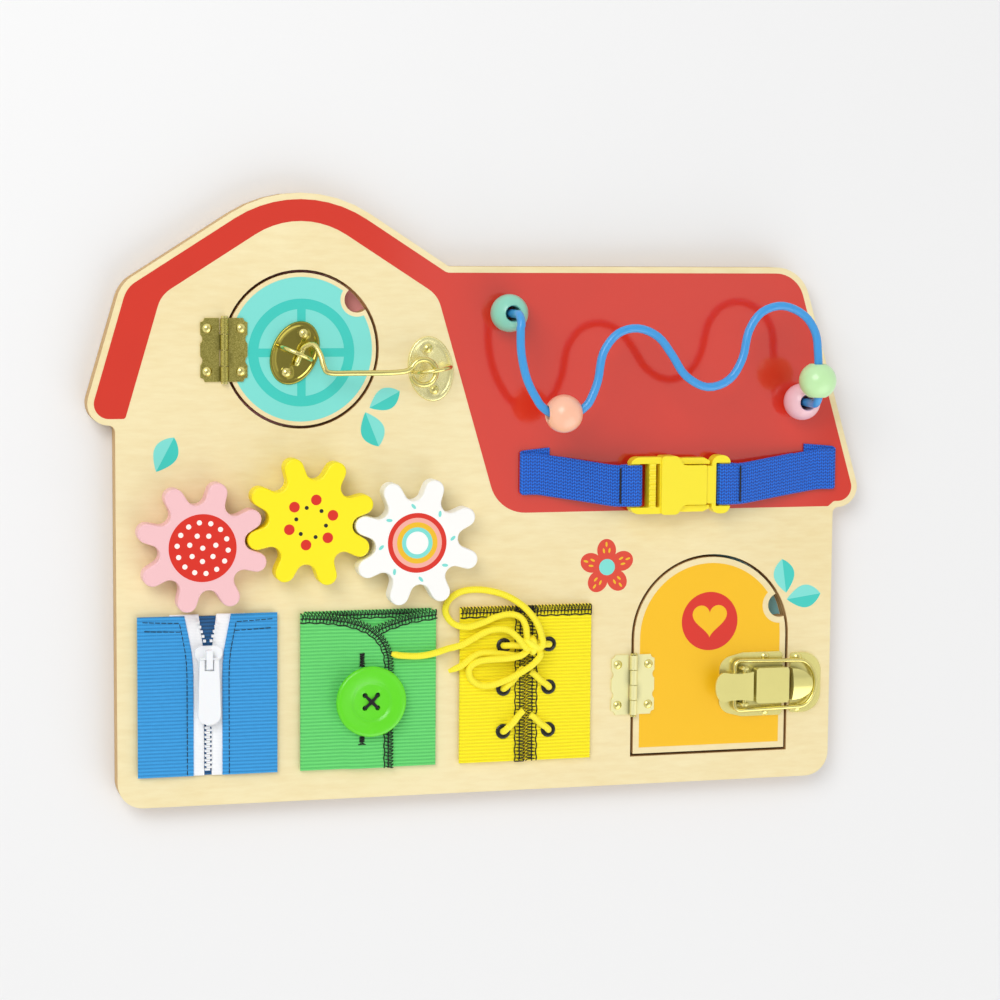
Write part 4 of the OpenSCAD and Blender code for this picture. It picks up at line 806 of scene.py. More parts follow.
# node, body, finish, bevel in millimetres and the finish of the sides
softSettings = [
    ("front_board", "board", birchFace, 0.5, birchEdge),
    ("round_door", "round_door", birchFace, 0.5, birchEdge),
    ("arched_door", "arched_door", birchFace, 0.5, birchEdge),
    ("back_panel", "board", backFace, 0.3, birchEdge),
    ("gear_pink", "gear_pink", gearPinkPaint, 0.9, None),
    ("gear_yellow", "gear_yellow", gearYellowPaint, 0.9, None),
    ("gear_white", "gear_white", gearWhitePaint, 0.9, None),
    ("gear_washers", "board", dowelWood, 0.3, None),
    ("gear_axles", "board", dowelWood, 0.3, None),
    ("round_hinge_frame_leaf", "board", agedShadedBrass, 0.12, None),
    ("round_hinge_door_leaf", "round_door", agedShadedBrass, 0.12, None),
    ("arched_hinge_frame_leaf", "board", litPaleBrass, 0.12, None),
    ("arched_hinge_door_leaf", "arched_door", litPaleBrass, 0.12, None),
    ("latch_base", "arched_door", latchBrass, 0.4, None),
    ("latch_lever", "latch_lever", latchBrass, 0.25, None),
    ("latch_strike", "board", latchBrass, 0.4, None),
    ("buckle_female", "board", bucklePlastic, 0.6, None),
    ("buckle_male", "buckle_male", bucklePlastic, 0.6, None),
    ("buckle_prongs", "buckle_male", bucklePlastic, 0.6, None),
    ("zip_slider", "zip_slider", zipPlastic, 0.4, None),
    ("zip_pull", "zip_pull", zipPlastic, 0.35, None),
]
# these small solids only get a finish
finishSettings = {
    "assembly_screws": steelMetal, "round_hinge_pin": brassMetal, "arched_hinge_pin": brassMetal,
    "frame_nails": brassMetal, "round_door_nails": brassMetal, "arched_door_nails": brassMetal,
    "strap_screws": brassMetal, "latch_pivot_pin": brassMetal, "latch_rivets": brassMetal,
    "strike_rivets": brassMetal, "zip_teeth": zipPlastic,
}
for row in softSettings:
    softened(*row)
for nodeName, material in finishSettings.items():
    dressed(nodes[nodeName], material)
print("solids are dressed")


# smooth wires: the same routes as the solids, with rounder sections

def arcRoute(centre, u, v, radius, start, stop, steps):
    centre, u, v = Vector(centre), Vector(u), Vector(v)
    route = []
    for k in range(steps + 1):
        a = math.radians(start + (stop - start) * k / steps)
        route.append(tuple(centre + radius * (math.cos(a) * u + math.sin(a) * v)))
    return route


wireSettings = {
    "left": (8.0, 88.0), "right": (156.9, 44.5), "height": 42.0, "bend": 6.0, "rises": (4.0, 18.0, 28.0),
    "radius": 2.0, "sides": 20, "start": [(7.6, 82), (8, 70), (11, 57.5)], "dip": (29.0, 55.5, 15.0),
    "waves": [(45.5, 57), (48, 70), (55, 79), (65, 81.5), (75, 77.5), (82, 69), (89, 59), (100, 53.5),
              (111, 57), (117.5, 67), (120.5, 80), (127, 89), (137.6, 92), (148.5, 87.5), (154.5, 79),
              (156, 69), (156.5, 60)],
}


def makeBeadWire():
    values = wireSettings
    (lx, ly), (rx, ry) = values["left"], values["right"]
    top, bend = values["height"], values["bend"]
    dipX, dipY, dipR = values["dip"]
    run = list(values["start"])
    for angle in range(-150, -29, 15):
        u, v = around(dipR, angle)
        run.append((dipX + u, dipY + v))
    run += values["waves"]
    route = [(lx, ly, z) for z in values["rises"]]
    route += arcRoute((lx, ly - bend, top - bend), (0, 1, 0), (0, 0, 1), bend, 0, 80, 8)
    route += smoothRoute([(x, y, top) for x, y in run], 4)
    route += arcRoute((rx, ry + bend, top - bend), (0, -1, 0), (0, 0, 1), bend, 80, 0, 8)
    route += [(rx, ry, z) for z in reversed(values["rises"])]
    piece = tubeMesh("beadWire", route, values["radius"], values["sides"])
    finished(piece, "board", wirePaint, ("bead_wire",), 60)


stapleSettings = {
    "boardStaple": {"node": "hook_board_staple", "body": "board", "place": (-28.3, 61.4), "turn": 9.0,
                    "radius": 8.4, "leg": 5.4},
    "doorStaple": {"node": "hook_door_staple", "body": "round_door", "place": (-93.6, 69.3), "turn": -24.0,
                   "radius": 7.5, "leg": 4.0},
    "wire": 1.0, "inWood": 5.0,
}


def makeStaple(name):
    values, wire = stapleSettings[name], stapleSettings["wire"]
    across = values["radius"] * Vector((*around(1.0, values["turn"]), 0))
    mid = Vector((*values["place"], faceZ + values["leg"]))
    foot = Vector((0, 0, values["leg"] + stapleSettings["inWood"]))
    route = [mid + across - foot, mid + across - 0.5 * foot]
    route += arcRoute(mid, (*around(1.0, values["turn"]), 0), (0, 0, 1), values["radius"], 0, 180, 24)
    route += [mid - across - 0.5 * foot, mid - across - foot]
    finished(tubeMesh(name, route, wire, 16), values["body"], brassMetal, (values["node"],), 60)


hookSettings = {
    "pivot": (-34.268, 60.455, 23.235), "loop": 6.0, "wire": 1.3, "arm": 25.5, "turn": -24.0,
    "neck": [(-7.5, 0.9, 0.4), (-11, 0.3, 1.2)], "straight": (-18, -33), "doorEye": (-93.6, 69.3, 16.3),
    "bends": [(-79.5, 0.2, 0), (-82.2, 3, -0.5), (-83.6, 8.5, -2), (-86.2, 13, -5.4)],
}


def makeHook():
    values = hookSettings
    pivot, arm = Vector(values["pivot"]), values["arm"]
    along = Vector((*around(1.0, values["turn"]), 0))
    through = Vector((-along.y, along.x, 0))
    ring = Vector(values["doorEye"]) + 2.2 * along
    arms = [pivot + Vector(p) for p in values["neck"]]
    arms += [Vector((pivot.x + x, pivot.y, arm)) for x in values["straight"]]
    arms += [Vector((x, pivot.y + y, arm + z)) for x, y, z in values["bends"]]
    arms += [ring + 4 * through + Vector((0, 0, 0.5)), ring, ring - 5.5 * through]
    loop = arcRoute(pivot, (1, 0, 0), (0, 1, 0), values["loop"], 198, 516, 40)
    route = loop + smoothRoute([tuple(p) for p in arms], 6)
    radii = [values["wire"]] * len(route)
    radii[-2:] = [1.1, 0.7]  # the tip is filed down
    finished(tubeMesh("hookWire", route, radii, 16), "hook", brassMetal, ("hook",), 60)


bailSettings = {"pin": (126.1, 16.0), "middle": -96.0, "inner": 4.9, "wide": 12.4, "half": 11.6, "bend": 3.0,
                "end": 168.4, "flat": 3.0, "wire": 1.0}


def makeBail():
    values = bailSettings
    px, pz = values["pin"]
    y, half, bend = values["middle"], values["half"], values["bend"]
    start = values["end"] - half + values["flat"]
    sides = []
    for s in (1, -1):
        side = [(px, y + s * values["inner"], pz)]
        for angle in range(0, 91, 10):
            c, d = around(1.0, angle)
            side.append((px + bend * (1 - c), y + s * (values["wide"] - bend + bend * d), pz))
        side.append(((px + bend + start) / 2, y + s * (values["wide"] + half) / 2, pz))
        side.append((start, y + s * half, pz))
        sides.append(side)
    outerEnd = []
    for angle in range(80, -81, -8):
        c, d = around(1.0, angle)
        outerEnd.append((start + (half - values["flat"]) * c, y + half * d, pz))
    piece = tubeMesh("bailWire", sides[0] + outerEnd + sides[1][::-1], values["wire"], 16)
    finished(piece, "latch_bail", brassMetal, ("latch_bail",), 60)


makeBeadWire()
makeHook()
makeStaple("boardStaple")
makeStaple("doorStaple")
makeBail()
print("wires are made")


# turned pieces

def lathe(name, profile, steps=64, closed=True):
    # a profile of radius and height in millimetres, spun about Z
    mesh = bpy.data.meshes.new(name)
    count = len(profile)
    edges = [(i, i + 1) for i in range(count - 1)] + ([(count - 1, 0)] if closed else [])
    mesh.from_pydata([(r * mm, 0, h * mm) for r, h in profile], edges, [])
    piece = linked(name, mesh)
    withModifier(piece, "SCREW", angle=2 * math.pi, steps=steps, render_steps=steps, use_merge_vertices=True,
                 merge_threshold=1e-6)
    return facedOut(piece, 1e-6)


def moved(piece, x, y, z, axis=None, angle=0.0):
    # the mesh itself is moved, so that the object stays at the origin
    turn = Matrix.Rotation(math.radians(angle), 4, axis) if axis else Matrix.Identity(4)
    piece.data.transform(Matrix.Translation((x * mm, y * mm, z * mm)) @ turn)
    piece.data.update()
    return piece


beadSettings = {
    "radius": 9.0, "half": 8.0, "bore": 3.6, "edge": 0.9,
    "beads": [("mint_bead", mintPaint, (8, 88, 20.2), None, 0),
              ("pink_bead", rosePaint, (156.9, 44.5, 20.2), None, 0),
              ("peach_bead", peachPaint, (29, 41.6, 42), "Y", 90),
              ("lime_bead", limePaint, (156.6, 56, 40.8), "X", 90)],
}


def beadProfile():
    # a ball with flat ends, a bore and a rounded edge at the bore
    radius, half, bore, edge = (beadSettings[k] for k in ("radius", "half", "bore", "edge"))
    limit = math.degrees(math.asin(half / radius))
    ball = [around(radius, limit * (k / 12 - 1)) for k in range(25)]
    flat = radius * math.cos(math.radians(limit))
    rim = []
    for angle in range(0, 91, 18):
        c, s = around(edge, angle)
        if bore + edge - s <= flat:
            rim.append((bore + edge - s, half - edge + c))
    return ball + rim + [(r, -h) for r, h in reversed(rim)]


def makeBeads():
    profile = beadProfile()
    for nodeName, material, place, axis, angle in beadSettings["beads"]:
        piece = moved(lathe(nodeName + "_look", profile), *place, axis, angle)
        finished(piece, nodeName, material, (nodeName,), 40)


buttonSettings = {
    "place": (-58.1, -96.0, 16.9), "hole": 1.25, "reach": 4.35, "top": 2.6, "bevel": 0.25,
    "profile": [(0, 0.5), (12.5, 0.5), (15.0, 0.75), (16.3, 1.25), (16.9, 1.9), (17.0, 2.5), (16.8, 3.2),
                (16.3, 3.7), (15.6, 3.95), (14.6, 4.0), (12.5, 3.85), (10.6, 3.6), (9.8, 3.4), (9.3, 3.05),
                (8.8, 2.75), (8.0, 2.62), (5.0, 2.6), (0, 2.6)],
    "thread": 0.6, "strands": (-0.45, 0.0, 0.45),
    "stitch": [(-1.12, -1.4), (-1.06, -0.3), (-0.9, 0.35), (-0.5, 0.62), (0, 0.78), (0.5, 0.62), (0.9, 0.35),
               (1.06, -0.3), (1.12, -1.4)],
    "crossing": 0.27,
}


def makeButton():
    values = buttonSettings
    piece = lathe("coatButton", values["profile"], 96, False)
    for angle in (45, 135, 225, 315):
        u, v = around(values["reach"], angle)
        deselectAll()
        bpy.ops.mesh.primitive_cylinder_add(vertices=24, radius=values["hole"] * mm, depth=0.02,
                                            location=(u * mm, v * mm, 0.002))
        cutter = bpy.context.object
        withModifier(piece, "BOOLEAN", operation="DIFFERENCE", object=cutter, solver="EXACT")
        bpy.data.objects.remove(cutter, do_unlink=True)
    withModifier(piece, "BEVEL", width=values["bevel"] * mm, segments=2, limit_method="ANGLE",
                 angle_limit=math.radians(60))
    finished(moved(piece, *values["place"]), "board", buttonPlastic, ("coat_button",), 35)


def makeButtonThread():
    # a cross of two bundles; the first one lies under the second
    values = buttonSettings
    x, y, z = values["place"]
    strands = []
    for angle, lift in ((45, 0.0), (-45, values["crossing"])):
        c, s = around(1.0, angle)
        for offset in values["strands"]:
            route = []
            for t, h in values["stitch"]:
                u, v = t * values["reach"], offset * (1.3 - 0.6 * abs(t))
                high = h + lift if t == 0 else h
                route.append((x + u * c - v * s, y + u * s + v * c, z + values["top"] + high))
            strands.append(smoothRoute(route, 3))
    thread = meshed(line("buttonThread", strands, values["thread"], 8))
    finished(thread, "board", blackThread, ("button_thread",), 60)


ovalSettings = {
    "plates": [("hook_board_plate", "board", litPlateBrass, (-28.3, 61.4), 9.0),
               ("hook_door_plate", "round_door", shadedOvalBrass, (-93.6, 69.3), -24.0)],
    "across": 11.0, "along": 15.5, "nails": 10.0, "low": 0.82, "high": 1.2, "steps": 96,
    "shares": [0.08 * k for k in range(1, 11)] + [0.84, 0.87, 0.9, 0.93, 0.955, 0.975, 0.99, 1.0],
}


def smoothStep(a, b, t):
    t = max(0.0, min(1.0, (t - a) / (b - a)))
    return t * t * (3 - 2 * t)


def plateLevel(u, v, share):
    # a raised rim, a dished middle and a round seat under each nail
    low, high = ovalSettings["low"], ovalSettings["high"]
    level = low + (high - low) * smoothStep(0.8, 0.9, share)
    for side in (1, -1):
        away = math.hypot(u, v - side * ovalSettings["nails"])
        level = max(level, high - 0.05 - (high - low) * smoothStep(2.5, 3.3, away))
    return level - 0.75 * smoothStep(0.955, 1.0, share) ** 2


def makeOvalPlate(nodeName, body, material, place, turn):
    values = ovalSettings
    (cx, cy), (c, s) = place, around(1.0, turn)
    steps, shares = values["steps"], values["shares"]
    verts, faces = [(cx, cy, faceZ + plateLevel(0, 0, 0))], []
    for share in shares + [None]:  # the last ring is the foot
        for k in range(steps):
            a = 2 * math.pi * k / steps
            u, v = values["across"] * math.cos(a), values["along"] * math.sin(a)
            level = 0.0
            if share is not None:
                u, v = values["across"] * share * math.cos(a), values["along"] * share * math.sin(a)
                level = plateLevel(u, v, share)
            verts.append((cx + u * c - v * s, cy + u * s + v * c, faceZ + level))
    for k in range(steps):
        j = (k + 1) % steps
        faces.append((0, 1 + k, 1 + j))
        for ring in range(len(shares)):
            a, b = 1 + ring * steps, 1 + (ring + 1) * steps
            faces.append((a + k, b + k, b + j, a + j))
    faces.append(tuple(1 + len(shares) * steps + k for k in range(steps - 1, -1, -1)))
    finished(solid(nodeName + "_look", verts, faces), body, material, (nodeName,), 50)


makeBeads()
makeButton()
makeButtonThread()
for row in ovalSettings["plates"]:
    makeOvalPlate(*row)
print("turned pieces and plates are made")


# paint on the wood

filmSettings = {"thick": 0.06, "second": 0.04, "onFace": 0.05}


def film(name, rings, body, material, low=faceZ, thick=filmSettings["thick"]):
    finished(flatShape(name, rings, low, low + thick), body, material, (), None)


def secondFilm(name, rings, body, material):
    # paint that lies on the first coat
    film(name, rings, body, material, faceZ + filmSettings["thick"], filmSettings["second"])


def bitten(ring, cx, cy, r):
    # a counterclockwise ring with a round bite out of its edge
    count = len(ring)
    inside = [math.dist(p, (cx, cy)) < r for p in ring]
    start = next(i for i in range(count) if not inside[i] and inside[(i + 1) % count])
    order = [(start + 1 + k) % count for k in range(count)]
    run = next(k for k, i in enumerate(order) if not inside[i])
    kept = [ring[i] for i in order[run:]]
    a0 = math.atan2(kept[-1][1] - cy, kept[-1][0] - cx)
    a1 = math.atan2(kept[0][1] - cy, kept[0][0] - cx)
    sweep = -((a0 - a1) % (2 * math.pi))
    bite = []
    for k in range(17):
        a = a0 + sweep * k / 16
        bite.append((cx + r * math.cos(a), cy + r * math.sin(a)))
    return bite + kept


archSettings = {"middle": 114.3, "spring": -71.5, "foot": -130, "radius": 40.8}


def archRing(inset):
    values = archSettings
    r, foot = values["radius"] - inset, values["foot"] + inset
    ring = [(values["middle"] - r, foot), (values["middle"] + r, foot)]
    for angle in range(0, 181, 3):
        u, v = around(r, angle)
        ring.append((values["middle"] + u, values["spring"] + v))
    return ring


def quarter(x, y, inner, r, turn):
    # the open quarter between two bars of the round window
    reach = math.sqrt(r * r - inner * inner)
    a0 = math.atan2(inner, reach)
    ring = [(inner, inner)]
    for k in range(15):
        a = a0 + (math.pi / 2 - 2 * a0) * k / 14
        ring.append((r * math.cos(a), r * math.sin(a)))
    c, s = around(1.0, turn)
    return [(x + u * c - v * s, y + u * s + v * c) for u, v in ring]


def leafHalf(x, y, length, width, turn, side):
    c, s = around(1.0, turn)
    ring = []
    for k in range(19):
        t = k / 18
        u = length * (t - 0.5)
        v = side * width / 2 * math.sin(math.pi * t) ** 0.85 * (0.8 + 0.45 * t)
        ring.append((x + u * c - v * s, y + u * s + v * c))
    return ring


printSettings = {
    # each corner of the roof is x, y and its radius
    "roof": [(5.6, -8.2, 18), (175, -8.2, 0.5), (178, -5.7, 2), (189.5, -5.7, 7), (156.4, 106.8, 15),
             (-20.5, 106.8, 5), (-90.5, 151.6, 58), (-171.75, 99.6, 13), (-189.5, 39.3, 7),
             (-172.8, 39.3, 1.5), (-156, 96.2, 14), (-90.5, 138.1, 40), (-25, 96.2, 14)],
    # each leaf is x, y, length, width and turn
    "leaves": [(-50.5, 47.0, 16.5, 10, 28), (-56.5, 33.0, 17.5, 11, -68), (-154.5, 22.5, 18, 11, 62),
               (152.5, -42.5, 17, 10.5, 98), (163.0, -53.0, 18, 11, 8)],
    "roundDoor": (-90.5, 70.9), "roundPaint": 33.8, "roundPanel": 36.9, "roundNotch": (-63.86, 94.06, 8),
    "window": {"middle": (-90.4, 69.4), "outer": 25.2, "inner": 20.4, "bar": 2.0},
    "archInset": 4.4, "archPanel": 0.3, "archNotch": (150.37, -56.93, 9), "roofThick": 0.08, "panelTop": 3.0,
    "heart": {"disc": (113.8, -63.9, 14.5), "middle": (113.8, -62.7), "scale": 0.56},
}


def makeDoorPrints():
    values = printSettings
    middle, window, heart = values["roundDoor"], values["window"], values["heart"]
    disc = circle(*middle, values["roundPaint"], 120)
    film("roundDoorPaint", [bitten(disc, *values["roundNotch"])], "round_door", tealPaint)
    rings = [circle(*window["middle"], window["outer"], 96)]
    for turn in (0, 90, 180, 270):
        rings.append(quarter(*window["middle"], window["bar"], window["inner"], turn))
    secondFilm("windowPaint", rings, "round_door", deepTealPaint)
    arch = bitten(archRing(values["archInset"]), *values["archNotch"])
    film("archedDoorPaint", [arch], "arched_door", doorYellowPaint)
    hx, hy = heart["middle"]
    ring = []
    for k in range(48):
        t = 2 * math.pi * k / 48
        high = 13 * math.cos(t) - 5 * math.cos(2 * t) - 2 * math.cos(3 * t) - math.cos(4 * t)
        ring.append((hx + heart["scale"] * 16 * math.sin(t) ** 3, hy + heart["scale"] * high))
    secondFilm("heartPaint", [circle(*heart["disc"], 72), ring], "arched_door", signalRedPaint)
    # the back panel shows through the gaps of both doors
    thick = filmSettings["onFace"]
    disc = circle(*middle, values["roundPanel"], 96)
    film("panelMauvePaint", [disc], "board", mauvePly, values["panelTop"], thick)
    film("panelTealPaint", [archRing(values["archPanel"])], "board", grayTealPaint, values["panelTop"], thick)


def makeBoardPrints():
    values = printSettings
    film("roofPaint", [rounded(values["roof"])], "board", redPaint, thick=values["roofThick"])
    film("leafLightPaint", [leafHalf(*leaf, 1) for leaf in values["leaves"]], "board", tealPaint)
    film("leafDarkPaint", [leafHalf(*leaf, -1) for leaf in values["leaves"]], "board", deepTealPaint)


flowerSettings = {
    "middle": (60.5, -35.7), "petals": 5, "mean": 7.4, "swing": 6.4, "turn": 0.35, "heart": 4.0,
    "dashes": [(8.2, -10), (8.2, 10), (11.2, 0)], "dash": (1.25, 0.42),
}


def makeFlower():
    values = flowerSettings
    fx, fy = values["middle"]
    petals = []
    for k in range(120):
        a = 2 * math.pi * k / 120
        r = values["mean"] + values["swing"] * abs(math.cos(values["petals"] / 2 * a)) ** 0.8
        petals.append((fx + r * math.cos(a + values["turn"]), fy + r * math.sin(a + values["turn"])))
    film("flowerPaint", [petals], "board", coralPaint)
    secondFilm("flowerHeartPaint", [circle(fx, fy, values["heart"], 36)], "board", tealPaint)
    dashes = []
    length, squeeze = values["dash"]
    for k in range(values["petals"]):
        for out, off in values["dashes"]:
            angle = 360 / values["petals"] * k + math.degrees(values["turn"]) + off
            u, v = around(out, angle)
            dashes.append(circle(fx + u, fy + v, length, 16, squeeze, angle))
    secondFilm("flowerDashPaint", dashes, "board", ochrePaint)


gearSettings = {
    "top": 25.2, "pink": (-139.16, -19.91), "yellow": (-88.3, -9.1), "white": (-37.44, -19.91),
    # a row of dots is its count, radius and turn; a dot is its distance out, radius and turn
    "disc": 15.8, "dot": 1.2, "dotRows": [(7, 6.2, 0.2), (14, 11.9, 0.35)],
    "bigDot": (10.8, 2.5, 17), "smallDot": (7.2, 0.95, 47),
    "rings": [("Red", 14.2, 11.9, signalRedPaint), ("Peach", 11.9, 9.8, blushPaint),
              ("Ochre", 9.8, 7.4, ochrePaint), ("Teal", 7.4, 5.4, tealPaint)],
    "dash": {"out": 17.4, "length": 1.5, "squeeze": 0.5, "count": 8, "turn": 6, "lean": 35},
}


def makeGearPrints():
    values = gearSettings
    top, thick = values["top"], filmSettings["onFace"]
    x, y = values["pink"]
    film("pinkGearDisc", [circle(x, y, values["disc"], 96)], "gear_pink", signalRedPaint, top, thick)
    dots = [circle(x, y, values["dot"], 20)]
    for count, r, shift in values["dotRows"]:
        for k in range(count):
            a = 2 * math.pi * k / count + shift
            dots.append(circle(x + r * math.cos(a), y + r * math.sin(a), values["dot"], 20))
    film("pinkGearDots", dots, "gear_pink", creamPaint, top + thick, filmSettings["second"])
    x, y = values["yellow"]
    for name, key, material, steps in (("yellowGearDots", "bigDot", signalRedPaint, 32),
                                       ("yellowGearSpots", "smallDot", blackPaint, 20)):
        out, r, turn = values[key]
        spots = [around(out, 60 * k + turn) for k in range(6)]
        film(name, [circle(x + u, y + v, r, steps) for u, v in spots], "gear_yellow", material, top, thick)
    x, y = values["white"]
    for label, outer, inner, material in values["rings"]:
        rings = [circle(x, y, outer, 80), circle(x, y, inner, 80)]
        film("whiteGearRing" + label, rings, "gear_white", material, top, thick)
    dash = values["dash"]
    dashes = []
    for k in range(dash["count"]):
        angle = 360 / dash["count"] * k + dash["turn"]
        u, v = around(dash["out"], angle)
        dashes.append(circle(x + u, y + v, dash["length"], 20, dash["squeeze"], angle + dash["lean"]))
    film("whiteGearDashes", dashes, "gear_white", tealPaint, top, thick)


makeBoardPrints()
makeDoorPrints()
makeFlower()
makeGearPrints()
print("paint is on")


# webbing and its threads

strapSettings = {
    "width": 20.0, "thick": 1.3, "lip": 0.4, "middle": 4.8,
    # under the nail, up to the buckle, round its bar and back
    "route": [(30.5, 13.2, 12.72), (24, 12.6, 12.72), (17.4, 11.9, 12.74), (16.6, 11.6, 12.95),
              (16.3, 11.3, 13.45), (16.6, 10.9, 13.95), (17.4, 10.6, 14.12), (24, 10.6, 14.15),
              (31.5, 9.4, 14.3), (46, 7.2, 17.2), (57, 5.4, 19.4), (61.5, 4.8, 20.4), (65.5, 4.8, 21.8),
              (68.8, 4.8, 22.5), (72.4, 4.8, 22.5), (74.0, 4.8, 21.7), (74.5, 4.8, 19.5),
              (74.0, 4.8, 17.2), (72.4, 4.8, 16.5), (68.8, 4.8, 16.5), (65.5, 4.8, 17.4),
              (61.5, 4.8, 18.8), (46, 7.2, 15.6), (36, 8.8, 13.55)],
    # the right half mirrors the left round the buckle's bar and is stretched from there to its nail
    "loopFrom": 61.5, "mirror": 188.0, "nail": (15.0, 178.5), "stretch": 52 / 46.5,
    "seam": {"left": 63.7, "right": 124.9, "start": -8.6, "pitch": 0.4, "count": 44, "height": 21.95},
    "rib": {"from": 78.0, "to": 81.2, "pitch": 2.55, "height": 22.75},
}


def ribbon(name, route):
    # flat webbing along a centreline; its map is in millimetres, along and across
    width, thick, lip = (strapSettings[k] for k in ("width", "thick", "lip"))
    stations = [Vector(p) for p in route]
    last = len(stations) - 1
    half = width / 2
    section = [(-half + lip, thick / 2, lip), (half - lip, thick / 2, width - lip), (half, 0, width),
               (half - lip, -thick / 2, width - lip), (-half + lip, -thick / 2, lip), (-half, 0, 0)]
    sides = len(section)
    verts, faces = [], []
    for i, point in enumerate(stations):
        tangent = stations[min(i + 1, last)] - stations[max(i - 1, 0)]
        normal = Vector((-tangent.z, 0, tangent.x)).normalized()
        for across, up, _ in section:
            verts.append(point + Vector((0, across, 0)) + up * normal)
    for i in range(last):
        for k in range(sides):
            j = (k + 1) % sides
            faces.append((i * sides + k, (i + 1) * sides + k, (i + 1) * sides + j, i * sides + j))
    faces.append(tuple(range(sides)))
    faces.append(tuple(last * sides + k for k in range(sides - 1, -1, -1)))
    piece = solid(name, verts, faces)
    marks = marksAlong(stations)
    layer = piece.data.uv_layers.new(name="map")
    for loop in piece.data.loops:
        v = loop.vertex_index
        layer.data[loop.index].uv = (marks[v // sides], section[v % sides][2])
    return finished(facedOut(piece), "board", webbingBlue, (), 40)


def bentWithBuckle(piece):
    # the piece is taken off the board's body and keeps its place in its own mesh
    piece.parent = None
    del piece["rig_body"]
    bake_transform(piece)


def makeStraps():
    values = strapSettings
    seam, rib, middle = values["seam"], values["rib"], values["middle"]
    left, right = values["route"], []
    nailLeft, nailRight = values["nail"]
    for x, y, z in left:
        mirrored = values["mirror"] - x
        stretched = nailRight - (x - nailLeft) * values["stretch"]
        right.append((mirrored if x >= values["loopFrom"] else stretched, y, z))
    for word, route in (("Left", left), ("Right", right)):
        strap = ribbon("strap" + word, smoothRoute(route, 3))
        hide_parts("strap_" + word.lower())
        threads = []
        for k in range(seam["count"]):
            t = seam["start"] + seam["pitch"] * k
            threads.append((seam[word.lower()], middle + t, seam["height"] + 0.1 * math.sin(t * 3)))
        thread = finished(meshed(line("strapSeam" + word, [threads], 0.95, 8)), "board", blackThread, (), 60)
        if word == "Right":
            bentWithBuckle(strap)
            bentWithBuckle(thread)
    ribs = []
    for k in range(-4, 5):
        y = middle + rib["pitch"] * k
        ribs.append([(rib["from"], y, rib["height"]), (rib["to"], y, rib["height"])])
    finished(meshed(line("buckleRibs", ribs, 1.3, 10)), "board", bucklePlastic, (), 60)


threadSettings = {
    "stitch": {"dash": 2.3, "gap": 0.6, "thick": 0.36, "dip": 0.18, "shoulder": 0.05, "crown": 0.08},
    "overlock": {"pitch": 1.7, "thick": 0.58, "jitter": 0.18, "edge": 0.15},
}


def stitches(name, routes):
    # short stitches that dip into the cloth at both ends
    values = threadSettings["stitch"]
    dip, shoulder = values["dip"], values["shoulder"]
    pieces = []
    for route in routes:
        start = 0.0
        points = [Vector(p) for p in route]
        marks = marksAlong(points)
        while start + values["dash"] < marks[-1]:
            a, b, c = [spotAlong(points, marks, start + values["dash"] * share)[0] for share in (0, 0.5, 1)]
            pieces.append([(a.x, a.y, a.z - dip),
                           (a.x * 0.8 + b.x * 0.2, a.y * 0.8 + b.y * 0.2, a.z + shoulder),
                           (b.x, b.y, b.z + values["crown"]),
                           (c.x * 0.8 + b.x * 0.2, c.y * 0.8 + b.y * 0.2, c.z + shoulder),
                           (c.x, c.y, c.z - dip)])
            start += values["dash"] + values["gap"]
    finished(meshed(line(name, pieces, values["thick"], 6)), "board", blackThread, (), 60)


def overlock(name, route, width, height):
    # a zigzag over the cloth's edge with two run lines; the cloth is on the right of the route
    values = threadSettings["overlock"]
    points = [Vector(p) for p in route]
    marks = marksAlong(points)
    count = int(marks[-1] / (values["pitch"] / 2))
    zigzag, inner, middle = [], [], []
    for k in range(count + 1):
        point, way = spotAlong(points, marks, marks[-1] * k / count)
        side = Vector((way.y, -way.x))
        jitter = random.uniform(-values["jitter"], values["jitter"])

        def spot(offset, lift):
            p = point + side * offset
            return (p.x, p.y, height(p.x, p.y) + lift)

        if k:
            zigzag.append(spot(0.7, 0.16))
        zigzag.append(spot(width + jitter, 0.12) if k % 2 else spot(-values["edge"], -0.35))
        inner.append(spot(width + 0.25 * math.sin(k * 0.9), 0.2))
        middle.append(spot(0.55 * width + 0.18 * math.sin(k * 2.3 + 1), 0.26))
    thread = meshed(line(name, [zigzag, inner, middle], values["thick"], 6))
    finished(thread, "board", blackThread, (), 60)


makeStraps()
print("straps are made")


# ribbed cloth patches

clothSettings = {"bottom": -129.0, "top": -53.0, "half": 33.0, "zip": -135.3, "button": -58.3, "lace": 19.3,
                 "thick": 1.3, "rib": 0.59, "rise": 0.075, "step": 0.27, "inset": 2.0, "topProbe": -60.0,
                 "edgeSoft": 0.65, "edgeHeight": 0.42, "wave": 0.1}
# shares of the width, close together where the edges curl
ribEdges = [0.0, 0.004, 0.012, 0.022, 0.04] + [0.04 + 0.92 * k / 16 for k in range(1, 16)]
ribEdges += [0.96, 0.978, 0.988, 0.996, 1.0]


def clothFaces(rows, across):
    # both sides of the cloth and the strip round its border
    under = (rows + 1) * across
    faces = []
    for i in range(rows):
        for k in range(across - 1):
            a, b = i * across + k, (i + 1) * across + k
            faces.append((a, a + 1, b + 1, b))
            faces.append((under + a, under + b, under + b + 1, under + a + 1))
    border = list(range(across)) + [i * across + across - 1 for i in range(1, rows + 1)]
    border += [rows * across + k for k in range(across - 2, -1, -1)]
    border += [i * across for i in range(rows - 1, 0, -1)]
    for a, b in zip(border, border[1:] + border[:1]):
        faces.append((a, under + a, under + b, b))
    return faces


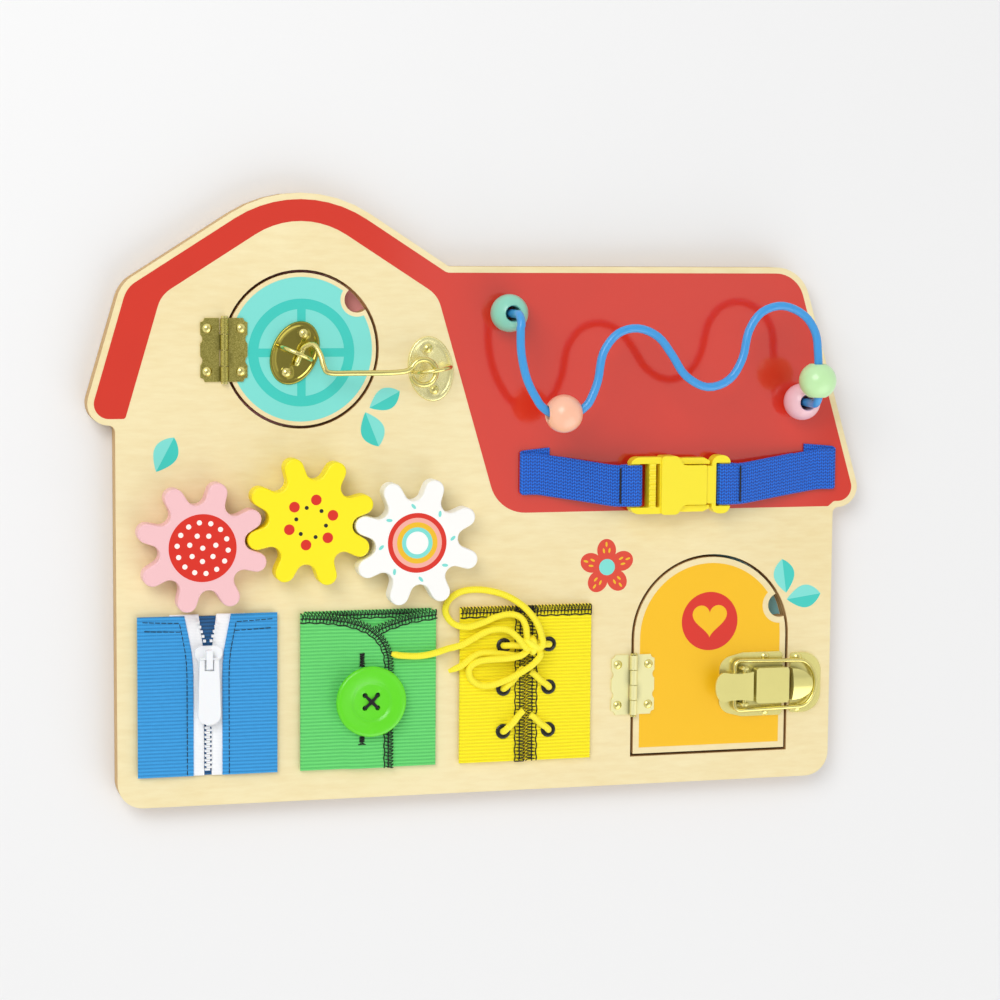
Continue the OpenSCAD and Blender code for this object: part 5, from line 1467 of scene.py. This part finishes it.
def ribbedCloth(name, left, right, top, level, material, replaces, thick=None, rise=None):
    # left(y), right(y), top(x) and level(x, y) give the edges and the underside, in millimetres
    values = clothSettings
    low, thick = values["bottom"], thick or values["thick"]
    rise = values["rise"] if rise is None else rise
    probe = values["topProbe"]
    tops = [top(left(values["top"])), top(right(values["top"])), top((left(probe) + right(probe)) / 2)]
    highest = max(tops)
    turn = min(tops) - 4  # above this height the rows bend to the top edge
    rows = int((highest - low) / values["step"])
    upper, under = [], []
    for i in range(rows + 1):
        flatY = low + (highest - low) * i / rows
        for share in ribEdges:
            y = flatY
            x = left(y) + share * (right(y) - left(y))
            if flatY > turn:
                for _ in range(3):
                    y = turn + (flatY - turn) / (highest - turn) * (top(x) - turn)
                    x = left(y) + share * (right(y) - left(y))
            away = min(x - left(y), right(y) - x, y - low, top(x) - y)
            soft = math.sqrt(max(0.0, 1 - (1 - min(away / values["edgeSoft"], 1)) ** 2))
            base = level(x, y)
            body = thick * (values["edgeHeight"] + (1 - values["edgeHeight"]) * soft)
            rib = rise * math.sin(2 * math.pi * values["rib"] * y)
            wave = values["wave"] * math.sin(x * 0.21 + y * 0.09) * soft
            upper.append((x, y, base + body + soft * (rib + wave)))
            under.append((x, y, base))
    verts = upper + under
    piece = solid(name, verts, clothFaces(rows, len(ribEdges)))
    layer = piece.data.uv_layers.new(name="map")
    for loop in piece.data.loops:
        layer.data[loop.index].uv = verts[loop.vertex_index][:2]
    finished(facedOut(piece), "board", material, replaces, 50)
    area, widest = 0.0, 0.0
    for i in range(rows):
        y = low + (highest - low) * (i + 0.5) / rows
        wide = right(y) - left(y)
        widest = max(widest, wide)
        if y < top((right(y) + left(y)) / 2):
            area += wide * (highest - low) / rows


def steady(value):
    # an edge or level that is the same everywhere
    def at(*spot):
        return value
    return at


def along(points):
    # a line through pairs, read at any first value; a single stretch is eased at its ends
    def at(t):
        if t <= points[0][0]:
            return points[0][1]
        for (a, va), (b, vb) in zip(points, points[1:]):
            if t <= b and len(points) == 2:
                return va + (vb - va) * smoothStep(a, b, t)
            if t <= b:
                return va + (vb - va) * (t - a) / (b - a)
        return points[-1][1]
    return at


def offsetEdge(middle, side, edge, extra=0.0):
    # an edge line, set off to one side of the patch's middle
    def at(y):
        return middle + side * (edge(y) + extra)
    return at


def backing(name, middle, top, material, replaces):
    # the layer under the flaps is a little narrower than they are
    half = clothSettings["half"] - clothSettings["inset"]
    ribbedCloth(name, steady(middle - half), steady(middle + half), steady(top), steady(faceZ), material,
                replaces)


zipSettings = {
    # Y on the board, and how far the edge stands from the zip's middle
    "flap": [(-82, 6.8), (-76, 7.0), (-70, 7.6), (-64, 8.7), (-58, 9.9), (-53, 10.9)],
    "tape": [(-76, 1.75), (-71, 1.8), (-66, 2.4), (-60, 3.3), (-53, 4.1)],
    "underFlap": 7.0, "flapLift": 0.55, "tapeLift": 0.02, "flapThick": 1.0, "tapeThick": 0.5,
    "backTop": -0.4, "tapeTop": 0.6, "rightTop": 0.5,
    "seamLift": 1.62, "hems": (3.2, 7.4), "hemFrom": 3.4, "hemTo": 0.8, "sideSeam": 3.1, "seamStart": -128.4,
    "seamPitch": 2.4,
}


def makeZipPatch():
    values = zipSettings
    middle, half, top = clothSettings["zip"], clothSettings["half"], clothSettings["top"]
    layer = faceZ + clothSettings["thick"]
    backing("zipBacking", middle, top + values["backTop"], darkBlueKnit, ("zip_backing",))
    flapEdge, tapeEdge = along(values["flap"]), along(values["tape"])
    for side, word in ((-1, "Left"), (1, "Right")):
        # from the zip outwards; the left side is turned round, so that its lower X comes first
        flap = [offsetEdge(middle, side, flapEdge), steady(middle + side * half)]
        tape = [offsetEdge(middle, side, tapeEdge), offsetEdge(middle, side, flapEdge, values["underFlap"])]
        flapTop = steady(top + values["rightTop"] if side > 0 else top)
        ribbedCloth("zipFlap" + word, *flap[::side], flapTop, steady(layer + values["flapLift"]), blueKnit,
                    ("zip_%s_flap" % word.lower(),), thick=values["flapThick"])
        tapeTop = steady(top + values["tapeTop"])
        ribbedCloth("zipTape" + word, *tape[::side], tapeTop, steady(layer + values["tapeLift"]), tapeWeave,
                    ("zip_tapes",), thick=values["tapeThick"], rise=0.0)
        zipSeams(word, middle, side, flapEdge, layer + values["seamLift"])


def zipSeams(word, middle, side, edge, z):
    # two rows along the top hem and one along the zip
    values = zipSettings
    half, top = clothSettings["half"], clothSettings["top"]
    rows = []
    for drop in values["hems"]:
        start = middle + side * (edge(top - drop) + values["hemFrom"])
        stop = middle + side * (half - values["hemTo"])
        y = top - drop
        rows.append([(start, y, z), ((start + stop) / 2, y + 0.4, z), (stop, y + 0.9, z)])
    heights = [values["seamStart"] + values["seamPitch"] * k for k in range(32)]
    rows.append([(middle + side * (edge(y) + values["sideSeam"]), y, z) for y in heights if y < top - 1])
    stitches("zipStitches" + word, rows)


# X is from the patch's own middle, Y is the board's
buttonPatchSettings = {
    "rightTop": [(-8, -63), (2, -61), (10, -58), (19, -55.3), (33, -53.5)],
    "rightSeam": [(-7, -62.8), (2, -61), (10, -58), (19, -55.3), (32.8, -53.5)],
    "leftEdge": [(-33, -53.6), (-20, -54.4), (-10, -56), (-4, -57.8), (2, -60.8), (7, -65.4), (10.3, -71.4),
                 (11.6, -77.5), (11.6, -84), (11.6, -95), (11.6, -129)],
    "underlap": -8.0, "rampFrom": -13.0, "rampTo": -7.0, "slopeFrom": -56.2, "topTo": -56.3, "topEnd": 20.0,
    "seam": 4.3, "backSeam": 3.6, "backHalf": 30.5,
    "hole": {"x": -3.6, "ends": [(-79.5, -73.5), (-117, -112)], "pitch": 0.45, "reach": 1.1, "thread": 0.45},
}


def makeButtonPatch():
    values = buttonPatchSettings
    middle, half, top = clothSettings["button"], clothSettings["half"], clothSettings["top"]
    thick = clothSettings["thick"]
    layer = faceZ + thick
    over = layer + thick

    def flapLevel(x, y):
        # the left flap climbs onto the right one
        ramp = smoothStep(middle + values["rampFrom"], middle + values["rampTo"], x)
        return layer + (over - layer) * ramp

    def flapTop(x, y):
        return flapLevel(x, y) + thick

    backing("buttonBacking", middle, top, greenKnit, ("button_backing",))
    rightTop = along([(middle + x, y) for x, y in values["rightTop"]])
    ribbedCloth("buttonRightFlap", steady(middle + values["underlap"]), steady(middle + half), rightTop,
                steady(layer), greenKnit, ("button_right_flap",))
    edge = smoothRoute(values["leftEdge"], 8)
    slope = sorted([(y, middle + x) for x, y in edge if y < values["slopeFrom"]])
    topLine = [(middle + x, y) for x, y in edge if y >= values["topTo"]]
    leftTop = along(topLine + [(middle + values["topEnd"], topLine[-1][1])])
    ribbedCloth("buttonLeftFlap", steady(middle - half), along(slope), leftTop, flapLevel, greenKnit,
                ("button_left_flap",))
    rightSeam = [(middle + x, y) for x, y in values["rightSeam"]]
    overlock("buttonEdgeLeft", [(middle + x, y) for x, y in edge], values["seam"], flapTop)
    overlock("buttonEdgeRight", rightSeam, values["seam"], steady(over))
    back = [(middle - values["backHalf"], top - 0.1), (middle + values["backHalf"], top - 0.1)]
    overlock("buttonEdgeBack", back, values["backSeam"], steady(layer))
    makeButtonhole(middle + values["hole"]["x"], over + thick)


def makeButtonhole(x, z):
    # short bars over both ends of the slit, the last ones longer
    values = buttonPatchSettings["hole"]
    bars = []
    for low, high in values["ends"]:
        steps = int((high - low) / values["pitch"])
        for k in range(steps + 1):
            y = low + (high - low) * k / steps
            reach = values["reach"] + random.uniform(-0.25, 0.9 if k in (0, steps) else 0.25)
            bars.append([(x - reach, y + random.uniform(-0.3, 0.3), z + 0.12), (x, y, z + 0.3),
                         (x + reach, y + random.uniform(-0.3, 0.3), z + 0.12)])
    finished(meshed(line("buttonholeThread", bars, values["thread"], 6)), "board", blackThread, (), 60)


lacePatchSettings = {
    "gap": 0.35, "hem": 0.3, "seam": 5.0, "rows": (-72, -93, -114), "eyelet": 11.3, "hole": 2.3,
    "ring": [(2.2, 0.0), (3.0, 0.0), (3.0, 1.3), (3.55, 1.32), (3.65, 1.6), (3.4, 1.95), (2.9, 2.12),
             (2.45, 2.0), (2.22, 1.7)],
}


def makeLacePatch():
    values = lacePatchSettings
    middle, half, top = clothSettings["lace"], clothSettings["half"], clothSettings["top"]
    thick, gap, hem = clothSettings["thick"], values["gap"], values["hem"]
    layer = faceZ + thick
    high = steady(layer + thick)
    backing("laceBacking", middle, top - hem, yellowKnit, ("lace_backing",))
    for word, left, right in (("Left", middle - half, middle - gap), ("Right", middle + gap, middle + half)):
        ribbedCloth("laceFlap" + word, steady(left), steady(right), steady(top), steady(layer), yellowKnit,
                    ("lace_flaps",))
    foot = clothSettings["bottom"]
    leftEdge = [(middle - half + hem, top), (middle - gap, top), (middle - gap, foot)]
    rightEdge = [(middle + gap, foot), (middle + gap, top), (middle + half - hem, top)]
    overlock("laceEdgeLeft", leftEdge, values["seam"], high)
    overlock("laceEdgeRight", rightEdge, values["seam"], high)
    rings, discs = [], []
    for row in values["rows"]:
        for x in (middle - values["eyelet"], middle + values["eyelet"]):
            rings.append(moved(lathe("eyeletRing", values["ring"], 40), x, row, layer))
            discs.append(circle(x, row, values["hole"], 24))
    finished(joined(rings, "eyeletRings"), "board", blackEnamel, ("eyelets",), 40)
    # black discs inside the eyelets' bores: painted shade for the holes
    film("eyeletHoleShade", discs, "board", blackPaint, layer + thick + 0.14, 0.1)


# the knot is X from the patch's middle, Y on the board and Z over the flap; a strand's points are X,
# a share of its rise and Z
laceRowSettings = {
    "top": -72.0, "pitch": 21.0, "eyelet": 11.3, "knot": (1.7, -71.6, 6.3), "over": 3.7,
    "rises": {1: 8.0, -1: 10.0}, "wrap": 3.3,
    "strand": [(11.3, 0.0, 0.7), (11.2, 0.02, 2.6), (9.7, 0.2, 4.0), (6.8, 0.45, 3.7), (4.0, 0.8, 3.4),
               (1.75, 1.0, 3.0)],
}


def makeLaceRows():
    # the strands out of the eyelets and the knot of the bow
    values = laceRowSettings
    x0, top, flap = clothSettings["lace"], values["top"], faceZ + clothSettings["thick"]
    over, radius, out = flap + values["over"], laceSettings["width"] / 2, values["eyelet"]
    knot = (x0 + values["knot"][0], values["knot"][1], flap + values["knot"][2])
    routes = [[(x0 - out, top, flap + 0.7), (x0 - out + 0.2, top, flap + 2.6),
               (x0 - 8, top + 0.3, over + 0.6), (x0 - 3, knot[1] - 0.2, knot[2] - 0.5), knot,
               (x0 + 6, knot[1] - 0.2, knot[2] - 0.8), (x0 + 9.5, top + 0.3, over),
               (x0 + out - 0.1, top, flap + 2.4), (x0 + out, top, flap + 0.7)]]
    for row in (1, 2):
        for side in (-1, 1):
            y, rise = top - values["pitch"] * row, values["rises"][side]
            routes.append([(x0 + side * x, y + up * rise, flap + z) for x, up, z in values["strand"]])
    pieces = [tubeMesh("laceRow%d" % i, smoothRoute(r, 4), radius, 12) for i, r in enumerate(routes)]
    ring, wrap = [], []
    for k in range(36):
        u, v = around(values["wrap"], 10 * k)
        ring.append((knot[0], knot[1] + u, knot[2] + v))
        c = math.cos(math.radians(10 * k))
        wrap.append((knot[0] + 3.7 * c - 0.2, knot[1] - 2.2 * c + 0.3, knot[2] + v + 0.6))
    pieces.append(meshed(line("laceKnot", [ring, wrap], radius * 2, 12, True)))
    for piece in pieces:
        finished(piece, "board", laceBraid, ("lace_rows",), 60)


makeZipPatch()
makeButtonPatch()
makeLacePatch()
makeLaceRows()
print("patches are made")


print("done")
